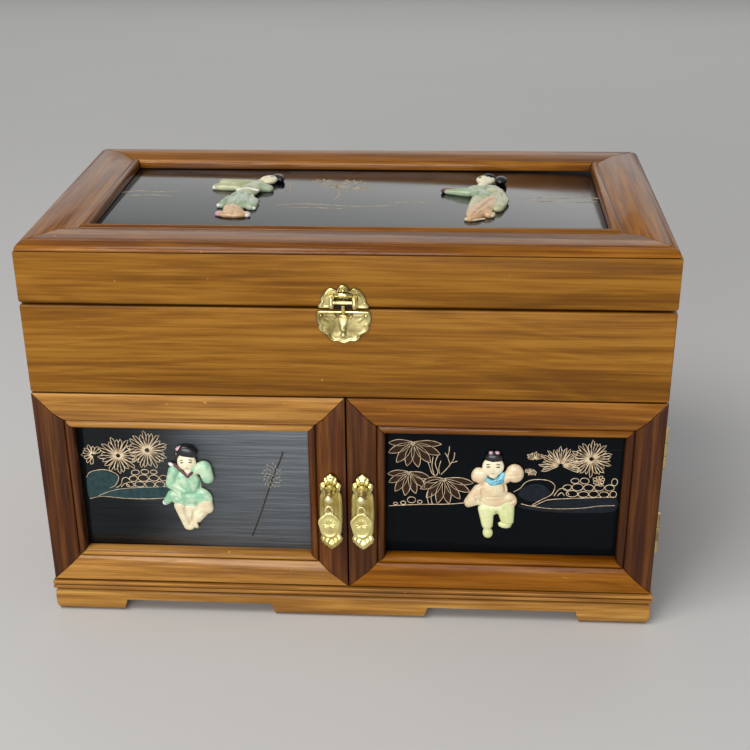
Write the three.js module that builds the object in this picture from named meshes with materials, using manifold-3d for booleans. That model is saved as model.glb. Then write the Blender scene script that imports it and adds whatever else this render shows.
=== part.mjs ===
// A lacquered wooden jewellery chest: hinged lid over an open compartment, and two doors over four drawers.
// Millimetres. X runs to the right, -Y is the front, +Z is up, and the chest stands on z = 0.
import * as THREE from 'three';
import { mergeVertices } from 'three/addons/utils/BufferGeometryUtils.js';
import Module from 'manifold-3d';

const wasm = await Module();
wasm.setup();

// ---- Driving dimensions ----
const WIDTH = 340;              // case, left to right
const DEPTH = 190;              // case, front to rear
const PULL_REACH = 16;          // how far the pulls stand out of the case front
const HINGE_REACH = 3.5;        // how far the lid hinges stand out of the case rear
const GAP = 0.3;                // clearance between pieces that touch
const PLINTH_TOP = 14.7;
const NOTCH_TOP = 8;            // underside of the plinth between its feet
const BASE_LOW = 15;
const BASE_TOP = 20.5;
const DOOR_LOW = 21.3;
const DOOR_TOP = 139.3;
const UPPER_LOW = 140;          // underside of the upper front board
const CASE_TOP = 190;
const LID_LOW = 190.8;
const LID_TOP = 219;            // top of the lid rim, under its mouldings
const BOARD = 12;               // thickness of front, sides and lid rim
const BACK_BOARD = 10;
const DOOR_SEAT = 12;           // how far the doors' backs lie behind the case front
const FLOOR_LOW = 141;
const FLOOR = 4;
const DIVIDER = 4;
const DRAWER_SETBACK = 16;      // drawer fronts behind the doors' backs, which leaves room for the knobs
const KNUCKLE_R = 1.6;
const PIN_R = 0.7;
const PIN_CLEARANCE = 0.3;
const LEAF = 0.8;
const LEAF_SINK = 0.7;          // how deep a leaf is let into its edge
const LEAF_DROP = 0.1;          // how far a moving leaf stands out of its edge
const LID_HINGE_X = 105;
const LID_LEAF_HALF = 14;
const LID_LEAF_REACH = 9;       // from the case rear inward
const DOOR_HINGE_OUT = 1.9;     // door hinge axis beyond the case side
const DOOR_HINGE_Z = [54, 107];
const DOOR_LEAF_HALF = 12.5;
const DOOR_LEAF_REACH = 11;     // from the case side inward
const DOOR_MEETING = 0.4;       // from the middle of the case to each door's edge
const PANEL_LOW = 1.2;          // door panel, from the door's back to the panel's back
const PANEL_HIGH = 5.4;         // and to the panel's front
const SHELF_LOW = 78.8;         // shelf between the lower and upper drawers
const DRAWER_GAP = 0.6;
const PULL_X = 8.8;
const PULL_Z = 71;              // middle of the pull plate
const DROP_Z = 81.9;            // pivot of the hanging drop

const HALF = WIDTH / 2;
const FRONT = (PULL_REACH - HINGE_REACH - DEPTH) / 2;
const BACK = FRONT + DEPTH;
const DOOR_BACK = FRONT + DOOR_SEAT;
const SIDE_FRONT = DOOR_BACK + 0.5;
const INNER = HALF - BOARD;
const INNER_BACK = BACK - BACK_BOARD;

// ---- Materials ----
const finish = (color, roughness, metalness = 0) =>
  () => new THREE.MeshStandardMaterial({ color, roughness, metalness });
const wood = finish(0x8a4f1c, 0.35);
const darkWood = finish(0x6d3517, 0.35);
const innerWood = finish(0xa56a36, 0.5);
const lacquer = finish(0x0b0d10, 0.12);
const brass = finish(0xd9bf62, 0.3, 1);
const velvet = finish(0x6e1020, 0.95);
const mirror = finish(0xdfe6e8, 0.05, 1);
const stone = finish(0xb9cfa6, 0.4);

// ---- Solids ----
function toSolid(geometry) {
  const bare = geometry.index ? geometry.toNonIndexed() : geometry.clone();
  for (const name of Object.keys(bare.attributes)) {
    if (name !== 'position') bare.deleteAttribute(name);
  }
  const merged = mergeVertices(bare, 1e-4);
  const data = { numProp: 3, vertProperties: merged.attributes.position.array };
  data.triVerts = new Uint32Array(merged.index.array);
  return new wasm.Manifold(new wasm.Mesh(data));
}

function toGeometry(solid) {
  const data = solid.getMesh();
  const geometry = new THREE.BufferGeometry();
  geometry.setAttribute('position', new THREE.BufferAttribute(data.vertProperties, 3));
  geometry.setIndex(new THREE.BufferAttribute(data.triVerts, 1));
  geometry.computeVertexNormals();
  return geometry;
}

const join = (...geometries) =>
  toGeometry(geometries.map(toSolid).reduce((all, next) => all.add(next)));
const cut = (geometry, ...tools) =>
  toGeometry(tools.map(toSolid).reduce((rest, tool) => rest.subtract(tool), toSolid(geometry)));
const common = (one, other) => toGeometry(toSolid(one).intersect(toSolid(other)));

function block(x0, x1, y0, y1, z0, z1) {
  const geometry = new THREE.BoxGeometry(x1 - x0, y1 - y0, z1 - z0);
  return geometry.translate((x0 + x1) / 2, (y0 + y1) / 2, (z0 + z1) / 2);
}

function rod(axis, radius, from, to, a, b, sides = 12) {
  const geometry = new THREE.CylinderGeometry(radius, radius, to - from, sides);
  const middle = (from + to) / 2;
  if (axis === 'x') return geometry.rotateZ(Math.PI / 2).translate(middle, a, b);
  if (axis === 'y') return geometry.translate(a, middle, b);
  return geometry.rotateX(Math.PI / 2).translate(a, b, middle);
}

const outline = (points) => new THREE.Shape(points.map(([a, b]) => new THREE.Vector2(a, b)));
const extrude = (shape, depth) => new THREE.ExtrudeGeometry(shape, { depth, bevelEnabled: false });

// An outline drawn in X and Z, standing upright, from y0 to y1.
const upright = (shape, y0, y1) =>
  extrude(shape, y1 - y0).rotateX(Math.PI / 2).translate(0, y1, 0);

// An outline drawn in Y and Z, run along X from x0 to x1.
function alongX(points, x0, x1) {
  const geometry = extrude(outline(points), x1 - x0);
  return geometry.rotateZ(Math.PI / 2).rotateY(Math.PI / 2).translate(x0, 0, 0);
}

// The right half of an outline, from its foot to its head, mirrored to both sides.
function mirrored(half) {
  const left = half.filter(([a]) => a > 0).map(([a, b]) => [-a, b]).reverse();
  return outline([...half, ...left]);
}

function arc(centre, radii, from, to, steps) {
  return Array.from({ length: steps + 1 }, (_, i) => {
    const angle = THREE.MathUtils.degToRad(from + (to - from) * i / steps);
    return [centre[0] + radii[0] * Math.cos(angle), centre[1] + radii[1] * Math.sin(angle)];
  });
}

// A rectangular board whose edge is a moulding: each ring is [inset, z], and the rear edge stays straight.
function edgeMoulded(rings, x0, x1, y0, y1, rearInset = 0) {
  const corners = rings.map(([inset, z]) => [
    [x0 + inset, y0 + inset, z], [x1 - inset, y0 + inset, z],
    [x1 - inset, y1 - inset * rearInset, z], [x0 + inset, y1 - inset * rearInset, z]]);
  const positions = corners.flat(2);
  const index = [0, 2, 1, 0, 3, 2];
  for (let ring = 0; ring + 1 < rings.length; ring += 1) {
    for (let side = 0; side < 4; side += 1) {
      const a = ring * 4 + side;
      const b = ring * 4 + (side + 1) % 4;
      index.push(a, b, b + 4, a, b + 4, a + 4);
    }
  }
  const top = (rings.length - 1) * 4;
  index.push(top, top + 1, top + 2, top, top + 2, top + 3);
  const geometry = new THREE.BufferGeometry();
  geometry.setAttribute('position', new THREE.Float32BufferAttribute(positions, 3));
  geometry.setIndex(index);
  return geometry;
}

// A mitred moulding along X: u runs inward (+Y) from the frame's outer edge, h runs up (+Z) from its seat.
function moulding(profile, length) {
  const geometry = extrude(outline(profile), 1);
  const position = geometry.attributes.position;
  for (let i = 0; i < position.count; i += 1) {
    const u = position.getX(i);
    const h = position.getY(i);
    const t = position.getZ(i);
    position.setXYZ(i, (t - 0.5) * (length - 2 * u - GAP), u, h);
  }
  return geometry;
}

// ---- Scene ----
const chest = new THREE.Group();
chest.name = 'jewellery_chest';

function add(name, geometry, material, parent = chest) {
  const mesh = new THREE.Mesh(geometry, material());
  mesh.name = name;
  parent.add(mesh);
  return mesh;
}

// Four mitred mouldings round a rectangle in their group's XY plane: front, right, rear and left.
function mitredFrame(prefix, names, profile, width, height, material, parent, cutters = {}) {
  names.forEach((name, side) => {
    const along = side % 2 === 0 ? width : height;
    const across = side % 2 === 0 ? height : width;
    let geometry = moulding(profile, along).translate(0, -across / 2, 0);
    geometry = geometry.rotateZ(side * Math.PI / 2);
    if (cutters[name]) geometry = cut(geometry, ...cutters[name]);
    add(`${prefix}_${name}`, geometry, material, parent);
  });
}

// ---- Plinth and base board ----
function plinth() {
  const cornerFoot = 41;
  const centreFoot = 45;
  const slant = 2.5;
  const wall = BOARD;
  const proud = 0.8;
  const roundTop = arc([3, PLINTH_TOP - 3], [3, 3], 180, 90, 4);
  const roundFoot = [[3.2, 0], [1.3, 1.2], [0.4, 3], [0, 5]];
  const rings = [...roundFoot, ...roundTop];
  const outer = edgeMoulded(rings, -HALF - proud, HALF + proud, FRONT - proud, BACK);
  const inside = block(-HALF + wall, HALF - wall, FRONT + wall, BACK - wall, -1, PLINTH_TOP + 1);
  const footEnd = HALF - cornerFoot;
  const notch = (a, b) => outline([[a - slant, -1], [b + slant, -1], [b, NOTCH_TOP], [a, NOTCH_TOP]]);
  const frontNotch = (side) => {
    const near = side * centreFoot;
    const far = side * footEnd;
    const shape = notch(Math.min(near, far), Math.max(near, far));
    return upright(shape, FRONT - 5, BACK + 5);
  };
  const sideFoot = 34;
  const sideNotch = alongX([
    [FRONT + sideFoot - slant, -1], [BACK - sideFoot + slant, -1],
    [BACK - sideFoot, NOTCH_TOP], [FRONT + sideFoot, NOTCH_TOP]], -HALF - 5, HALF + 5);
  return cut(outer, inside, frontNotch(-1), frontNotch(1), sideNotch);
}

function baseBoard() {
  const reed = (BASE_TOP - BASE_LOW) / 2;
  const proud = 1.5;
  const nose = (low) => arc([1.2, low + reed / 2], [1.2, reed / 2], 270, 90, 4);
  const rings = [...nose(BASE_LOW), ...nose(BASE_LOW + reed).slice(1)];
  return edgeMoulded(rings, -HALF - proud, HALF + proud, FRONT - proud, BACK);
}

add('plinth', plinth(), wood);
add('base_board', baseBoard(), wood);

// ---- Case ----
const leafReach = HALF - DOOR_LEAF_REACH;
const caseLeafY = [DOOR_BACK + 0.4, DOOR_BACK + 0.4 + LEAF];

function sideBoard(side) {
  const x0 = side < 0 ? -HALF : INNER;
  const board = block(x0, x0 + BOARD, SIDE_FRONT, BACK, BASE_TOP + GAP, CASE_TOP);
  const mortises = DOOR_HINGE_Z.map((z) => {
    const edges = [side * (leafReach - GAP), side * (HALF + 1)].sort((a, b) => a - b);
    const reach = DOOR_LEAF_HALF + GAP;
    return block(edges[0], edges[1], SIDE_FRONT - 1, caseLeafY[1] + GAP, z - reach, z + reach);
  });
  return cut(board, ...mortises);
}

// The seats of both lid hinges' leaves, cut into a rear edge from z0 to z1.
function lidLeafSeats(z0, z1) {
  const reach = LID_LEAF_HALF + GAP;
  return [-LID_HINGE_X, LID_HINGE_X].map((x) =>
    block(x - reach, x + reach, BACK - LID_LEAF_REACH - GAP, BACK + 1, z0, z1));
}

function backBoard() {
  const board = block(-INNER + GAP, INNER - GAP, INNER_BACK, BACK, BASE_TOP + GAP, CASE_TOP);
  return cut(board, ...lidLeafSeats(CASE_TOP - LEAF_SINK - GAP, CASE_TOP + 1));
}

function drawerDivider() {
  const half = 4;
  const setback = 3;
  const depth = [SIDE_FRONT + setback, INNER_BACK - GAP];
  const middle = block(-half, half, ...depth, BASE_TOP + GAP, FLOOR_LOW - GAP);
  const shelf = block(-INNER + GAP, INNER - GAP, ...depth, SHELF_LOW, SHELF_LOW + DIVIDER);
  return join(middle, shelf);
}

const padRear = -30;
const padTop = 172;
const padMargin = 2;
const dividerTop = 180;
const compartmentLow = FLOOR_LOW + FLOOR + GAP;

function compartmentDivider() {
  const long = block(-INNER + GAP, INNER - GAP, padRear + GAP, padRear + GAP + DIVIDER,
    compartmentLow, dividerTop);
  const cross = block(-DIVIDER / 2, DIVIDER / 2, padRear + 1, INNER_BACK - GAP, compartmentLow, dividerTop);
  return join(long, cross);
}

add('side_left', sideBoard(-1), wood);
add('side_right', sideBoard(1), wood);
add('back_board', backBoard(), wood);
add('upper_front', block(-HALF, HALF, FRONT, SIDE_FRONT - GAP, UPPER_LOW, CASE_TOP), wood);
add('compartment_floor', block(
  -INNER + GAP, INNER - GAP, SIDE_FRONT, INNER_BACK - GAP, FLOOR_LOW, FLOOR_LOW + FLOOR), innerWood);
add('drawer_divider', drawerDivider(), innerWood);
add('compartment_divider', compartmentDivider(), velvet);
add('ring_pad', block(
  -INNER + padMargin, INNER - padMargin, SIDE_FRONT + 1, padRear, compartmentLow, padTop), velvet);

// ---- Lid ----
const mouldLow = LID_TOP + GAP;
const panelLow = LID_TOP - 2.2;
const liningLow = panelLow - GAP - 2;
const mirrorLow = liningLow - GAP - 2.5;
const mirrorMargin = 32;

function lidRim() {
  const round = arc([2.2, LID_LOW + 2.2], [2.2, 2.2], 270, 180, 4);
  const outer = edgeMoulded([...round, [0, LID_TOP]], -HALF, HALF, FRONT, BACK, 1);
  const inside = block(-INNER, INNER, FRONT + BOARD, BACK - BOARD, LID_LOW - 1, LID_TOP + 1);
  return cut(outer, inside, ...lidLeafSeats(LID_LOW - 1, LID_LOW + LEAF_SINK + GAP));
}

const lidMoulding = [
  ...arc([5.6, 0], [5, 4.4], 180, 90, 5),
  [5.6, 5], [19.5, 5.8], [27.6, 4],
  ...arc([30.15, 3], [2.35, 2.35], 165, 0, 5),
  [32.5, 0]];

add('lid_rim', lidRim(), wood);
const lidTop = new THREE.Group();
lidTop.position.set(0, (FRONT + BACK) / 2, mouldLow);
chest.add(lidTop);
mitredFrame('lid_moulding', ['front', 'right', 'rear', 'left'], lidMoulding, WIDTH, DEPTH, darkWood, lidTop);

const lidInset = (rim, low, high) => block(
  -INNER + rim, INNER - rim, FRONT + BOARD + rim, BACK - BOARD - rim, low, high);
add('lid_panel', lidInset(GAP, panelLow, LID_TOP), lacquer);
add('lid_lining', lidInset(GAP, liningLow, panelLow - GAP), velvet);
add('lid_mirror', lidInset(mirrorMargin, mirrorLow, liningLow - GAP), mirror);

// ---- Carved figures: plain outlines of their size, lying on their panels ----
const ladyLeft = [[-75, -32], [-66, -36], [-57, -33], [-52, -20], [-54, -4], [-58, 6], [-50, 11], [-46, 18],
  [-44, 30], [-43, 40], [-48, 47], [-56, 46], [-60, 38], [-70, 38], [-84, 36], [-86, 26], [-78, 18],
  [-71, 14], [-73, 2], [-78, -14]];
const ladyRight = [[61, -36], [70, -38], [78, -30], [79, -18], [85, -8], [86, 8], [84, 20], [80, 26],
  [87, 32], [87, 44], [80, 48], [70, 44], [68, 34], [71, 26], [62, 22], [48, 18], [48, 11], [62, 9],
  [66, 2], [62, -12], [61, -26]];
const childLeft = [[-92, 52], [-84, 53], [-77, 63], [-74, 74], [-76, 82], [-73, 92], [-78, 98],
  [-83, 98], [-82, 104], [-90, 107], [-96, 101], [-100, 93], [-102, 84], [-100, 77], [-104, 70],
  [-98, 67], [-98, 60]];
const childRight = [[75, 51], [81, 54], [88, 57], [93, 64], [95, 74], [90, 84], [97, 92], [92, 100], [86, 99],
  [84, 106], [76, 107], [72, 101], [67, 94], [68, 84], [64, 73], [71, 70], [73, 58]];
const carving = 4.6;
const childRear = DOOR_BACK - PANEL_HIGH - GAP;
for (const [name, points] of [['lady_left', ladyLeft], ['lady_right', ladyRight]]) {
  add(name, extrude(outline(points), carving).translate(0, 0, LID_TOP + GAP), stone);
}

// ---- Doors ----
const doorWidth = HALF - DOOR_MEETING;
const doorHeight = DOOR_TOP - DOOR_LOW;
const ridge = 14;
const doorMoulding = [
  [0, 0], [0, 12], [10.8, ridge], [15.8, 11.9],
  ...arc([18.4, 10.7], [2.1, 2.1], 180, 0, 5),
  [20.5, 5.7], [15.2, 5.7], [15.2, 0]].reverse();

function door(side, word) {
  const centreX = side * (DOOR_MEETING + doorWidth / 2);
  const frame = new THREE.Group();
  frame.position.set(centreX, DOOR_BACK, (DOOR_LOW + DOOR_TOP) / 2);
  frame.rotation.x = Math.PI / 2;
  chest.add(frame);
  const reach = DOOR_LEAF_HALF + GAP;
  const inner = doorWidth / 2 - DOOR_LEAF_REACH - GAP;
  const mortises = DOOR_HINGE_Z.map((z) => {
    const local = z - (DOOR_LOW + DOOR_TOP) / 2;
    const edges = [side * inner, side * (doorWidth / 2 + 1)].sort((a, b) => a - b);
    return block(edges[0], edges[1], local - reach, local + reach, -1, LEAF_SINK + GAP);
  });
  const outerStile = side < 0 ? 'left_stile' : 'right_stile';
  const names = ['bottom_rail', 'right_stile', 'top_rail', 'left_stile'];
  mitredFrame(`door_${word}`, names, doorMoulding, doorWidth, doorHeight, darkWood, frame,
    { [outerStile]: mortises });
  const inset = 15.5;
  add(`door_${word}_panel`, block(-doorWidth / 2 + inset, doorWidth / 2 - inset,
    -doorHeight / 2 + inset, doorHeight / 2 - inset, PANEL_LOW, PANEL_HIGH), lacquer, frame);
}

// ---- Brass pulls ----
const dropY = FRONT - PULL_REACH + 2.1;
const plateBack = DOOR_BACK - ridge - GAP;
const postZ = DROP_Z + 3;

function pullPlate(x) {
  const half = [[0, -24], [2.4, -22.6], [4.8, -21], [5.8, -18], [4.6, -15.6], [5.8, -12], [6.3, -3],
    [6, 7], [5.2, 13], [6.4, 16], [5.8, 18.6], [3.4, 20.2], [2.4, 22.6], [0, 24]];
  const plate = upright(mirrored(half), -1, 0).translate(x, plateBack, PULL_Z);
  const ball = new THREE.SphereGeometry(2.1, 12, 8).translate(x, dropY, postZ);
  const post = rod('y', 1.1, dropY, plateBack - 0.5, x, postZ);
  const lug = rod('x', 2, x - 0.5, x + 0.5, dropY, DROP_Z, 16);
  const eye = rod('x', 1.15, x - 1, x + 1, dropY, DROP_Z, 12);
  return cut(join(plate, post, ball, lug), eye);
}

function drop(x) {
  const half = [[0, -21], [2.6, -19.6], [5, -16.6], [5.9, -12.4], [5.4, -8.6], [3.2, -5], [2.4, -2],
    [2.4, 0], [1.8, 0.6], [0, 0.6]];
  const shape = mirrored(half);
  shape.holes.push(new THREE.Path([[-1.4, -3], [1.4, -3], [1.4, -0.6], [-1.4, -0.6]]
    .map(([a, b]) => new THREE.Vector2(a, b))));
  return upright(shape, -0.6, 0.6).translate(x, dropY, DROP_Z);
}

// ---- Door hinges: the case leaf holds the pin and the end knuckles, the door leaf the middle knuckle ----
function hingeParts(side, z) {
  const axisX = side * (HALF + DOOR_HINGE_OUT);
  const axisY = DOOR_BACK + 0.25;
  const half = DOOR_LEAF_HALF;
  const third = half / 3;
  const plate = (y0, x1, z0, z1) => {
    const xs = [side * leafReach, x1].sort((a, b) => a - b);
    return block(xs[0], xs[1], y0, y0 + LEAF, z0, z1);
  };
  const knuckle = (z0, z1) => rod('z', KNUCKLE_R, z0, z1, axisX, axisY, 16);
  const doorLeafY = DOOR_BACK - LEAF_SINK + LEAF_DROP;
  const caseLeaf = join(
    plate(caseLeafY[0], side * HALF, z - half, z + half),
    plate(caseLeafY[0], axisX, z - half, z - third),
    plate(caseLeafY[0], axisX, z + third, z + half),
    knuckle(z - half, z - third), knuckle(z + third, z + half),
    rod('z', PIN_R, z - half, z + half, axisX, axisY));
  const doorLeaf = cut(join(
    plate(doorLeafY, side * HALF, z - half, z + half),
    plate(doorLeafY, axisX, z - third + GAP, z + third - GAP),
    knuckle(z - third + GAP, z + third - GAP)),
  rod('z', PIN_R + PIN_CLEARANCE, z - half, z + half, axisX, axisY));
  return { caseLeaf, doorLeaf };
}

for (const [side, word] of [[-1, 'left'], [1, 'right']]) {
  door(side, word);
  const points = side < 0 ? childLeft : childRight;
  add(`child_${word}`, upright(outline(points), childRear - carving, childRear), stone);
  add(`pull_plate_${word}`, pullPlate(side * PULL_X), brass);
  add(`pull_drop_${word}`, drop(side * PULL_X), brass);
  DOOR_HINGE_Z.forEach((z, i) => {
    const level = ['lower', 'upper'][i];
    const { caseLeaf, doorLeaf } = hingeParts(side, z);
    add(`hinge_${word}_${level}_case_leaf`, caseLeaf, brass);
    add(`hinge_${word}_${level}_door_leaf`, doorLeaf, brass);
  });
}

// ---- Lid hinges, in the seam at the rear ----
for (const [side, word] of [[-1, 'left'], [1, 'right']]) {
  const x = side * LID_HINGE_X;
  const axisY = BACK + 1.9;
  const axisZ = (CASE_TOP + LID_LOW) / 2;
  const half = LID_LEAF_HALF;
  const third = half / 3;
  const inner = BACK - LID_LEAF_REACH;
  const knuckle = (x0, x1) => rod('x', KNUCKLE_R, x0, x1, axisY, axisZ, 16);
  const plate = (z0, y1, x0, x1) => block(x0, x1, inner, y1, z0, z0 + LEAF);
  const caseZ = CASE_TOP - LEAF_SINK;
  const lidZ = LID_LOW - LEAF_DROP;
  add(`lid_hinge_${word}_case_leaf`, join(
    plate(caseZ, BACK, x - half, x + half),
    plate(caseZ, axisY, x - half, x - third),
    plate(caseZ, axisY, x + third, x + half),
    knuckle(x - half, x - third), knuckle(x + third, x + half),
    rod('x', PIN_R, x - half, x + half, axisY, axisZ)), brass);
  add(`lid_hinge_${word}_lid_leaf`, cut(join(
    plate(lidZ, BACK, x - half, x + half),
    plate(lidZ, axisY, x - third + GAP, x + third - GAP),
    knuckle(x - third + GAP, x + third - GAP)),
  rod('x', PIN_R + PIN_CLEARANCE, x - half, x + half, axisY, axisZ)), brass);
}

// ---- Clasp ----
const clasp = { pivotY: FRONT - 3, pivotZ: 187, skin: 1 };
const claspFace = FRONT - GAP - clasp.skin;

function latchPlate() {
  const half = [[0, -18.4], [2.6, -17.4], [7.4, -16.6], [10.6, -13.6], [13.2, -10.4], [13.6, -6.6],
    [14.2, -3.4], [13.4, -0.4]];
  const plate = upright(mirrored(half), -clasp.skin, 0).translate(0, FRONT - GAP, CASE_TOP);
  const lugX = 4.2;
  const lugHalf = 0.7;
  const lugR = 1.7;
  const lug = (side) => {
    const x0 = side * lugX - lugHalf;
    const x1 = side * lugX + lugHalf;
    const web = block(x0, x1, clasp.pivotY, FRONT - GAP - 0.3, clasp.pivotZ - lugR, clasp.pivotZ + lugR);
    return join(rod('x', lugR, x0, x1, clasp.pivotY, clasp.pivotZ), web);
  };
  return join(plate, lug(-1), lug(1), rod('x', 0.6, -lugX, lugX, clasp.pivotY, clasp.pivotZ));
}

function latchLever() {
  const { pivotY, pivotZ } = clasp;
  const body = alongX([
    [pivotY + 0.5, pivotZ + 6.2], [pivotY - 0.5, pivotZ + 6.2], [pivotY - 0.9, pivotZ + 1.2],
    [pivotY - 1.6, pivotZ - 2], [pivotY - 3.4, pivotZ - 7.6], [pivotY - 2.6, pivotZ - 10.4],
    [pivotY - 0.6, pivotZ - 9.6], [pivotY + 0.4, pivotZ - 5], [pivotY + 1, pivotZ - 1]].reverse(), -3, 3);
  const barrel = rod('x', 1.5, -3, 3, pivotY, pivotZ);
  return cut(join(body, barrel), rod('x', 0.9, -4, 4, pivotY, pivotZ));
}

function latchKeeper() {
  const half = [[12.6, 0], [12.4, 2.6], [10.6, 5.8], [8.2, 8.6], [5.4, 9.8], [3, 9.2], [2.2, 11.4],
    [0, 12.4]];
  const left = half.slice(0, -1).map(([a, b]) => [-a, b]).reverse();
  const low = LID_LOW + 0.2;
  const plate = upright(outline([...half, ...left]), -clasp.skin, 0).translate(0, FRONT - GAP, low);
  const reach = FRONT - 5.8;
  const ear = (side) => block(
    side * 6 - 0.8, side * 6 + 0.8, reach, FRONT - GAP - 0.3, low, low + 4.6);
  const bar = rod('x', 0.9, -6, 6, reach + 0.9, low + 1.8);
  return join(plate, ear(-1), ear(1), bar);
}

add('latch_plate', latchPlate(), brass);
add('latch_lever', latchLever(), brass);
add('latch_keeper', latchKeeper(), brass);

// ---- Drawers ----
function drawerBox(x0, x1, z0, z1) {
  const wall = 5;
  const front = 8;
  const bottom = 4;
  const rear = INNER_BACK - 2;
  const low = DOOR_BACK + DRAWER_SETBACK;
  const outer = block(x0, x1, low, rear, z0, z1);
  const inside = block(x0 + wall, x1 - wall, low + front, rear - wall, z0 + bottom, z1 + 1);
  return cut(outer, inside);
}

function knob(x, z) {
  const profile = [[0, 0], [2.2, 0], [2.2, 1.2], [1.6, 3], [2, 4.5], [4.6, 6.4], [5, 8.4],
    [3.6, 10.4], [0, 11.2]];
  const points = profile.map(([r, h]) => new THREE.Vector2(r, h));
  const turned = new THREE.LatheGeometry(points, 16);
  return turned.rotateX(Math.PI).translate(x, DOOR_BACK + DRAWER_SETBACK - GAP, z);
}

for (const [side, word] of [[-1, 'left'], [1, 'right']]) {
  const edges = [side * 4.8, side * (INNER - DRAWER_GAP)].sort((a, b) => a - b);
  const levels = [
    ['lower', BASE_TOP + DRAWER_GAP, SHELF_LOW - DRAWER_GAP],
    ['upper', SHELF_LOW + DIVIDER + DRAWER_GAP, UPPER_LOW - DRAWER_GAP]];
  for (const [level, z0, z1] of levels) {
    add(`drawer_${word}_${level}`, drawerBox(edges[0], edges[1], z0, z1), innerWood);
    add(`knob_${word}_${level}`, knob((edges[0] + edges[1]) / 2, (z0 + z1) / 2), brass);
  }
}

export default chest;
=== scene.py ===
"""The looks of a lacquered jewellery chest: varnished wood, black panels painted with fine gold lines,
carved stone figures, pressed brass fittings and velvet inside. Lengths are metres, in the CAD's frame."""
import math

import bmesh
import bpy
from mathutils import Matrix, Vector


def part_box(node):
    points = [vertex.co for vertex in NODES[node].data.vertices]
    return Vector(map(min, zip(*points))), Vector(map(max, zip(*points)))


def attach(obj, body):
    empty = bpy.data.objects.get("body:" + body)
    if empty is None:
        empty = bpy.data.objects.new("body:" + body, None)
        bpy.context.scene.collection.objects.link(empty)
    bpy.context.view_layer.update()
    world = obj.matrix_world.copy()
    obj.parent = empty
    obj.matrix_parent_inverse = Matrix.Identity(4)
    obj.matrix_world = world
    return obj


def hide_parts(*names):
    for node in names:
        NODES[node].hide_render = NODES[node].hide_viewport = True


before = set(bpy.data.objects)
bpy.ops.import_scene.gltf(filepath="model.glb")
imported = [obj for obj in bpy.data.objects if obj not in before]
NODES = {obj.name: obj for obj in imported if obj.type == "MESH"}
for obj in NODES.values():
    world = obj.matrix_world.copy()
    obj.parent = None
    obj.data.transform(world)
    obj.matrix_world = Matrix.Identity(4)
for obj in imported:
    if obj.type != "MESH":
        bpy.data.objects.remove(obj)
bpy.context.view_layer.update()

MM = 0.001
DOORS = ("left", "right")
LEVELS = ("lower", "upper")


# ---------------------------------------------------------------- shader building

class Shader:
    """A node material with one Principled shader, and short calls that add nodes to it."""

    def __init__(self, name):
        self.material = bpy.data.materials.new(name)
        self.material.use_nodes = True
        self.tree = self.material.node_tree
        self.surface = self.tree.nodes["Principled BSDF"]

    def feed(self, socket, value):
        if isinstance(value, bpy.types.NodeSocket):
            self.tree.links.new(value, socket)
        elif isinstance(value, tuple) and len(value) == 3 and socket.type == "RGBA":
            socket.default_value = (*value, 1.0)
        else:
            socket.default_value = value

    def node(self, kind, inputs, output=0, **settings):
        made = self.tree.nodes.new("ShaderNode" + kind)
        for key, value in settings.items():
            setattr(made, key, value)
        for key, value in inputs.items():
            self.feed(made.inputs[key], value)
        return made.outputs[output]

    def coordinates(self, scale, offset):
        """Object coordinates times one scale, or times a scale for each axis."""
        if not isinstance(scale, tuple):
            scale = (scale, scale, scale)
        place = self.node("TexCoord", {}, "Object")
        return self.node("Mapping", {"Vector": place, "Scale": scale, "Location": offset})

    def noise(self, scale, offset=(0, 0, 0), detail=4.0, distortion=0.0, roughness=0.5):
        vector = self.coordinates(scale, offset)
        inputs = {"Vector": vector, "Scale": 1.0, "Detail": detail, "Roughness": roughness,
                  "Distortion": distortion}
        return self.node("TexNoise", inputs, "Fac")

    def math(self, operation, a, b=0.0):
        return self.node("Math", {0: a, 1: b}, operation=operation)

    def between(self, value, low, high, to_low=0.0, to_high=1.0):
        inputs = {"Value": value, "From Min": low, "From Max": high, "To Min": to_low, "To Max": to_high}
        return self.node("MapRange", inputs, interpolation_type="SMOOTHSTEP")

    def blend(self, factor, a, b):
        return self.node("Mix", {0: factor, 6: a, 7: b}, 2, data_type="RGBA")

    def ramp(self, factor, stops):
        made = self.tree.nodes.new("ShaderNodeValToRGB")
        elements = made.color_ramp.elements
        while len(elements) < len(stops):
            elements.new(0.5)
        for element, (position, colour) in zip(elements, stops):
            element.position = position
            element.color = (*colour, 1.0)
        self.feed(made.inputs["Fac"], factor)
        return made.outputs["Color"]

    def bump(self, height, distance, strength=1.0, under=None):
        inputs = {"Height": height, "Distance": distance, "Strength": strength}
        if under is not None:
            inputs["Normal"] = under
        return self.node("Bump", inputs)

    def hollows(self, reach):
        """1 in the open, and towards 0 in corners and behind other pieces."""
        made = self.tree.nodes.new("ShaderNodeAmbientOcclusion")
        made.samples = 6
        made.inputs["Distance"].default_value = reach
        return made.outputs["AO"]

    def finish(self, **inputs):
        for key, value in inputs.items():
            self.feed(self.surface.inputs[key.replace("_", " ")], value)
        return self.material


def along(axis, fine, long):
    """A texture scale that is stretched along one axis."""
    scale = [fine, fine, fine]
    scale["XYZ".index(axis)] = long
    return tuple(scale)


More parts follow.
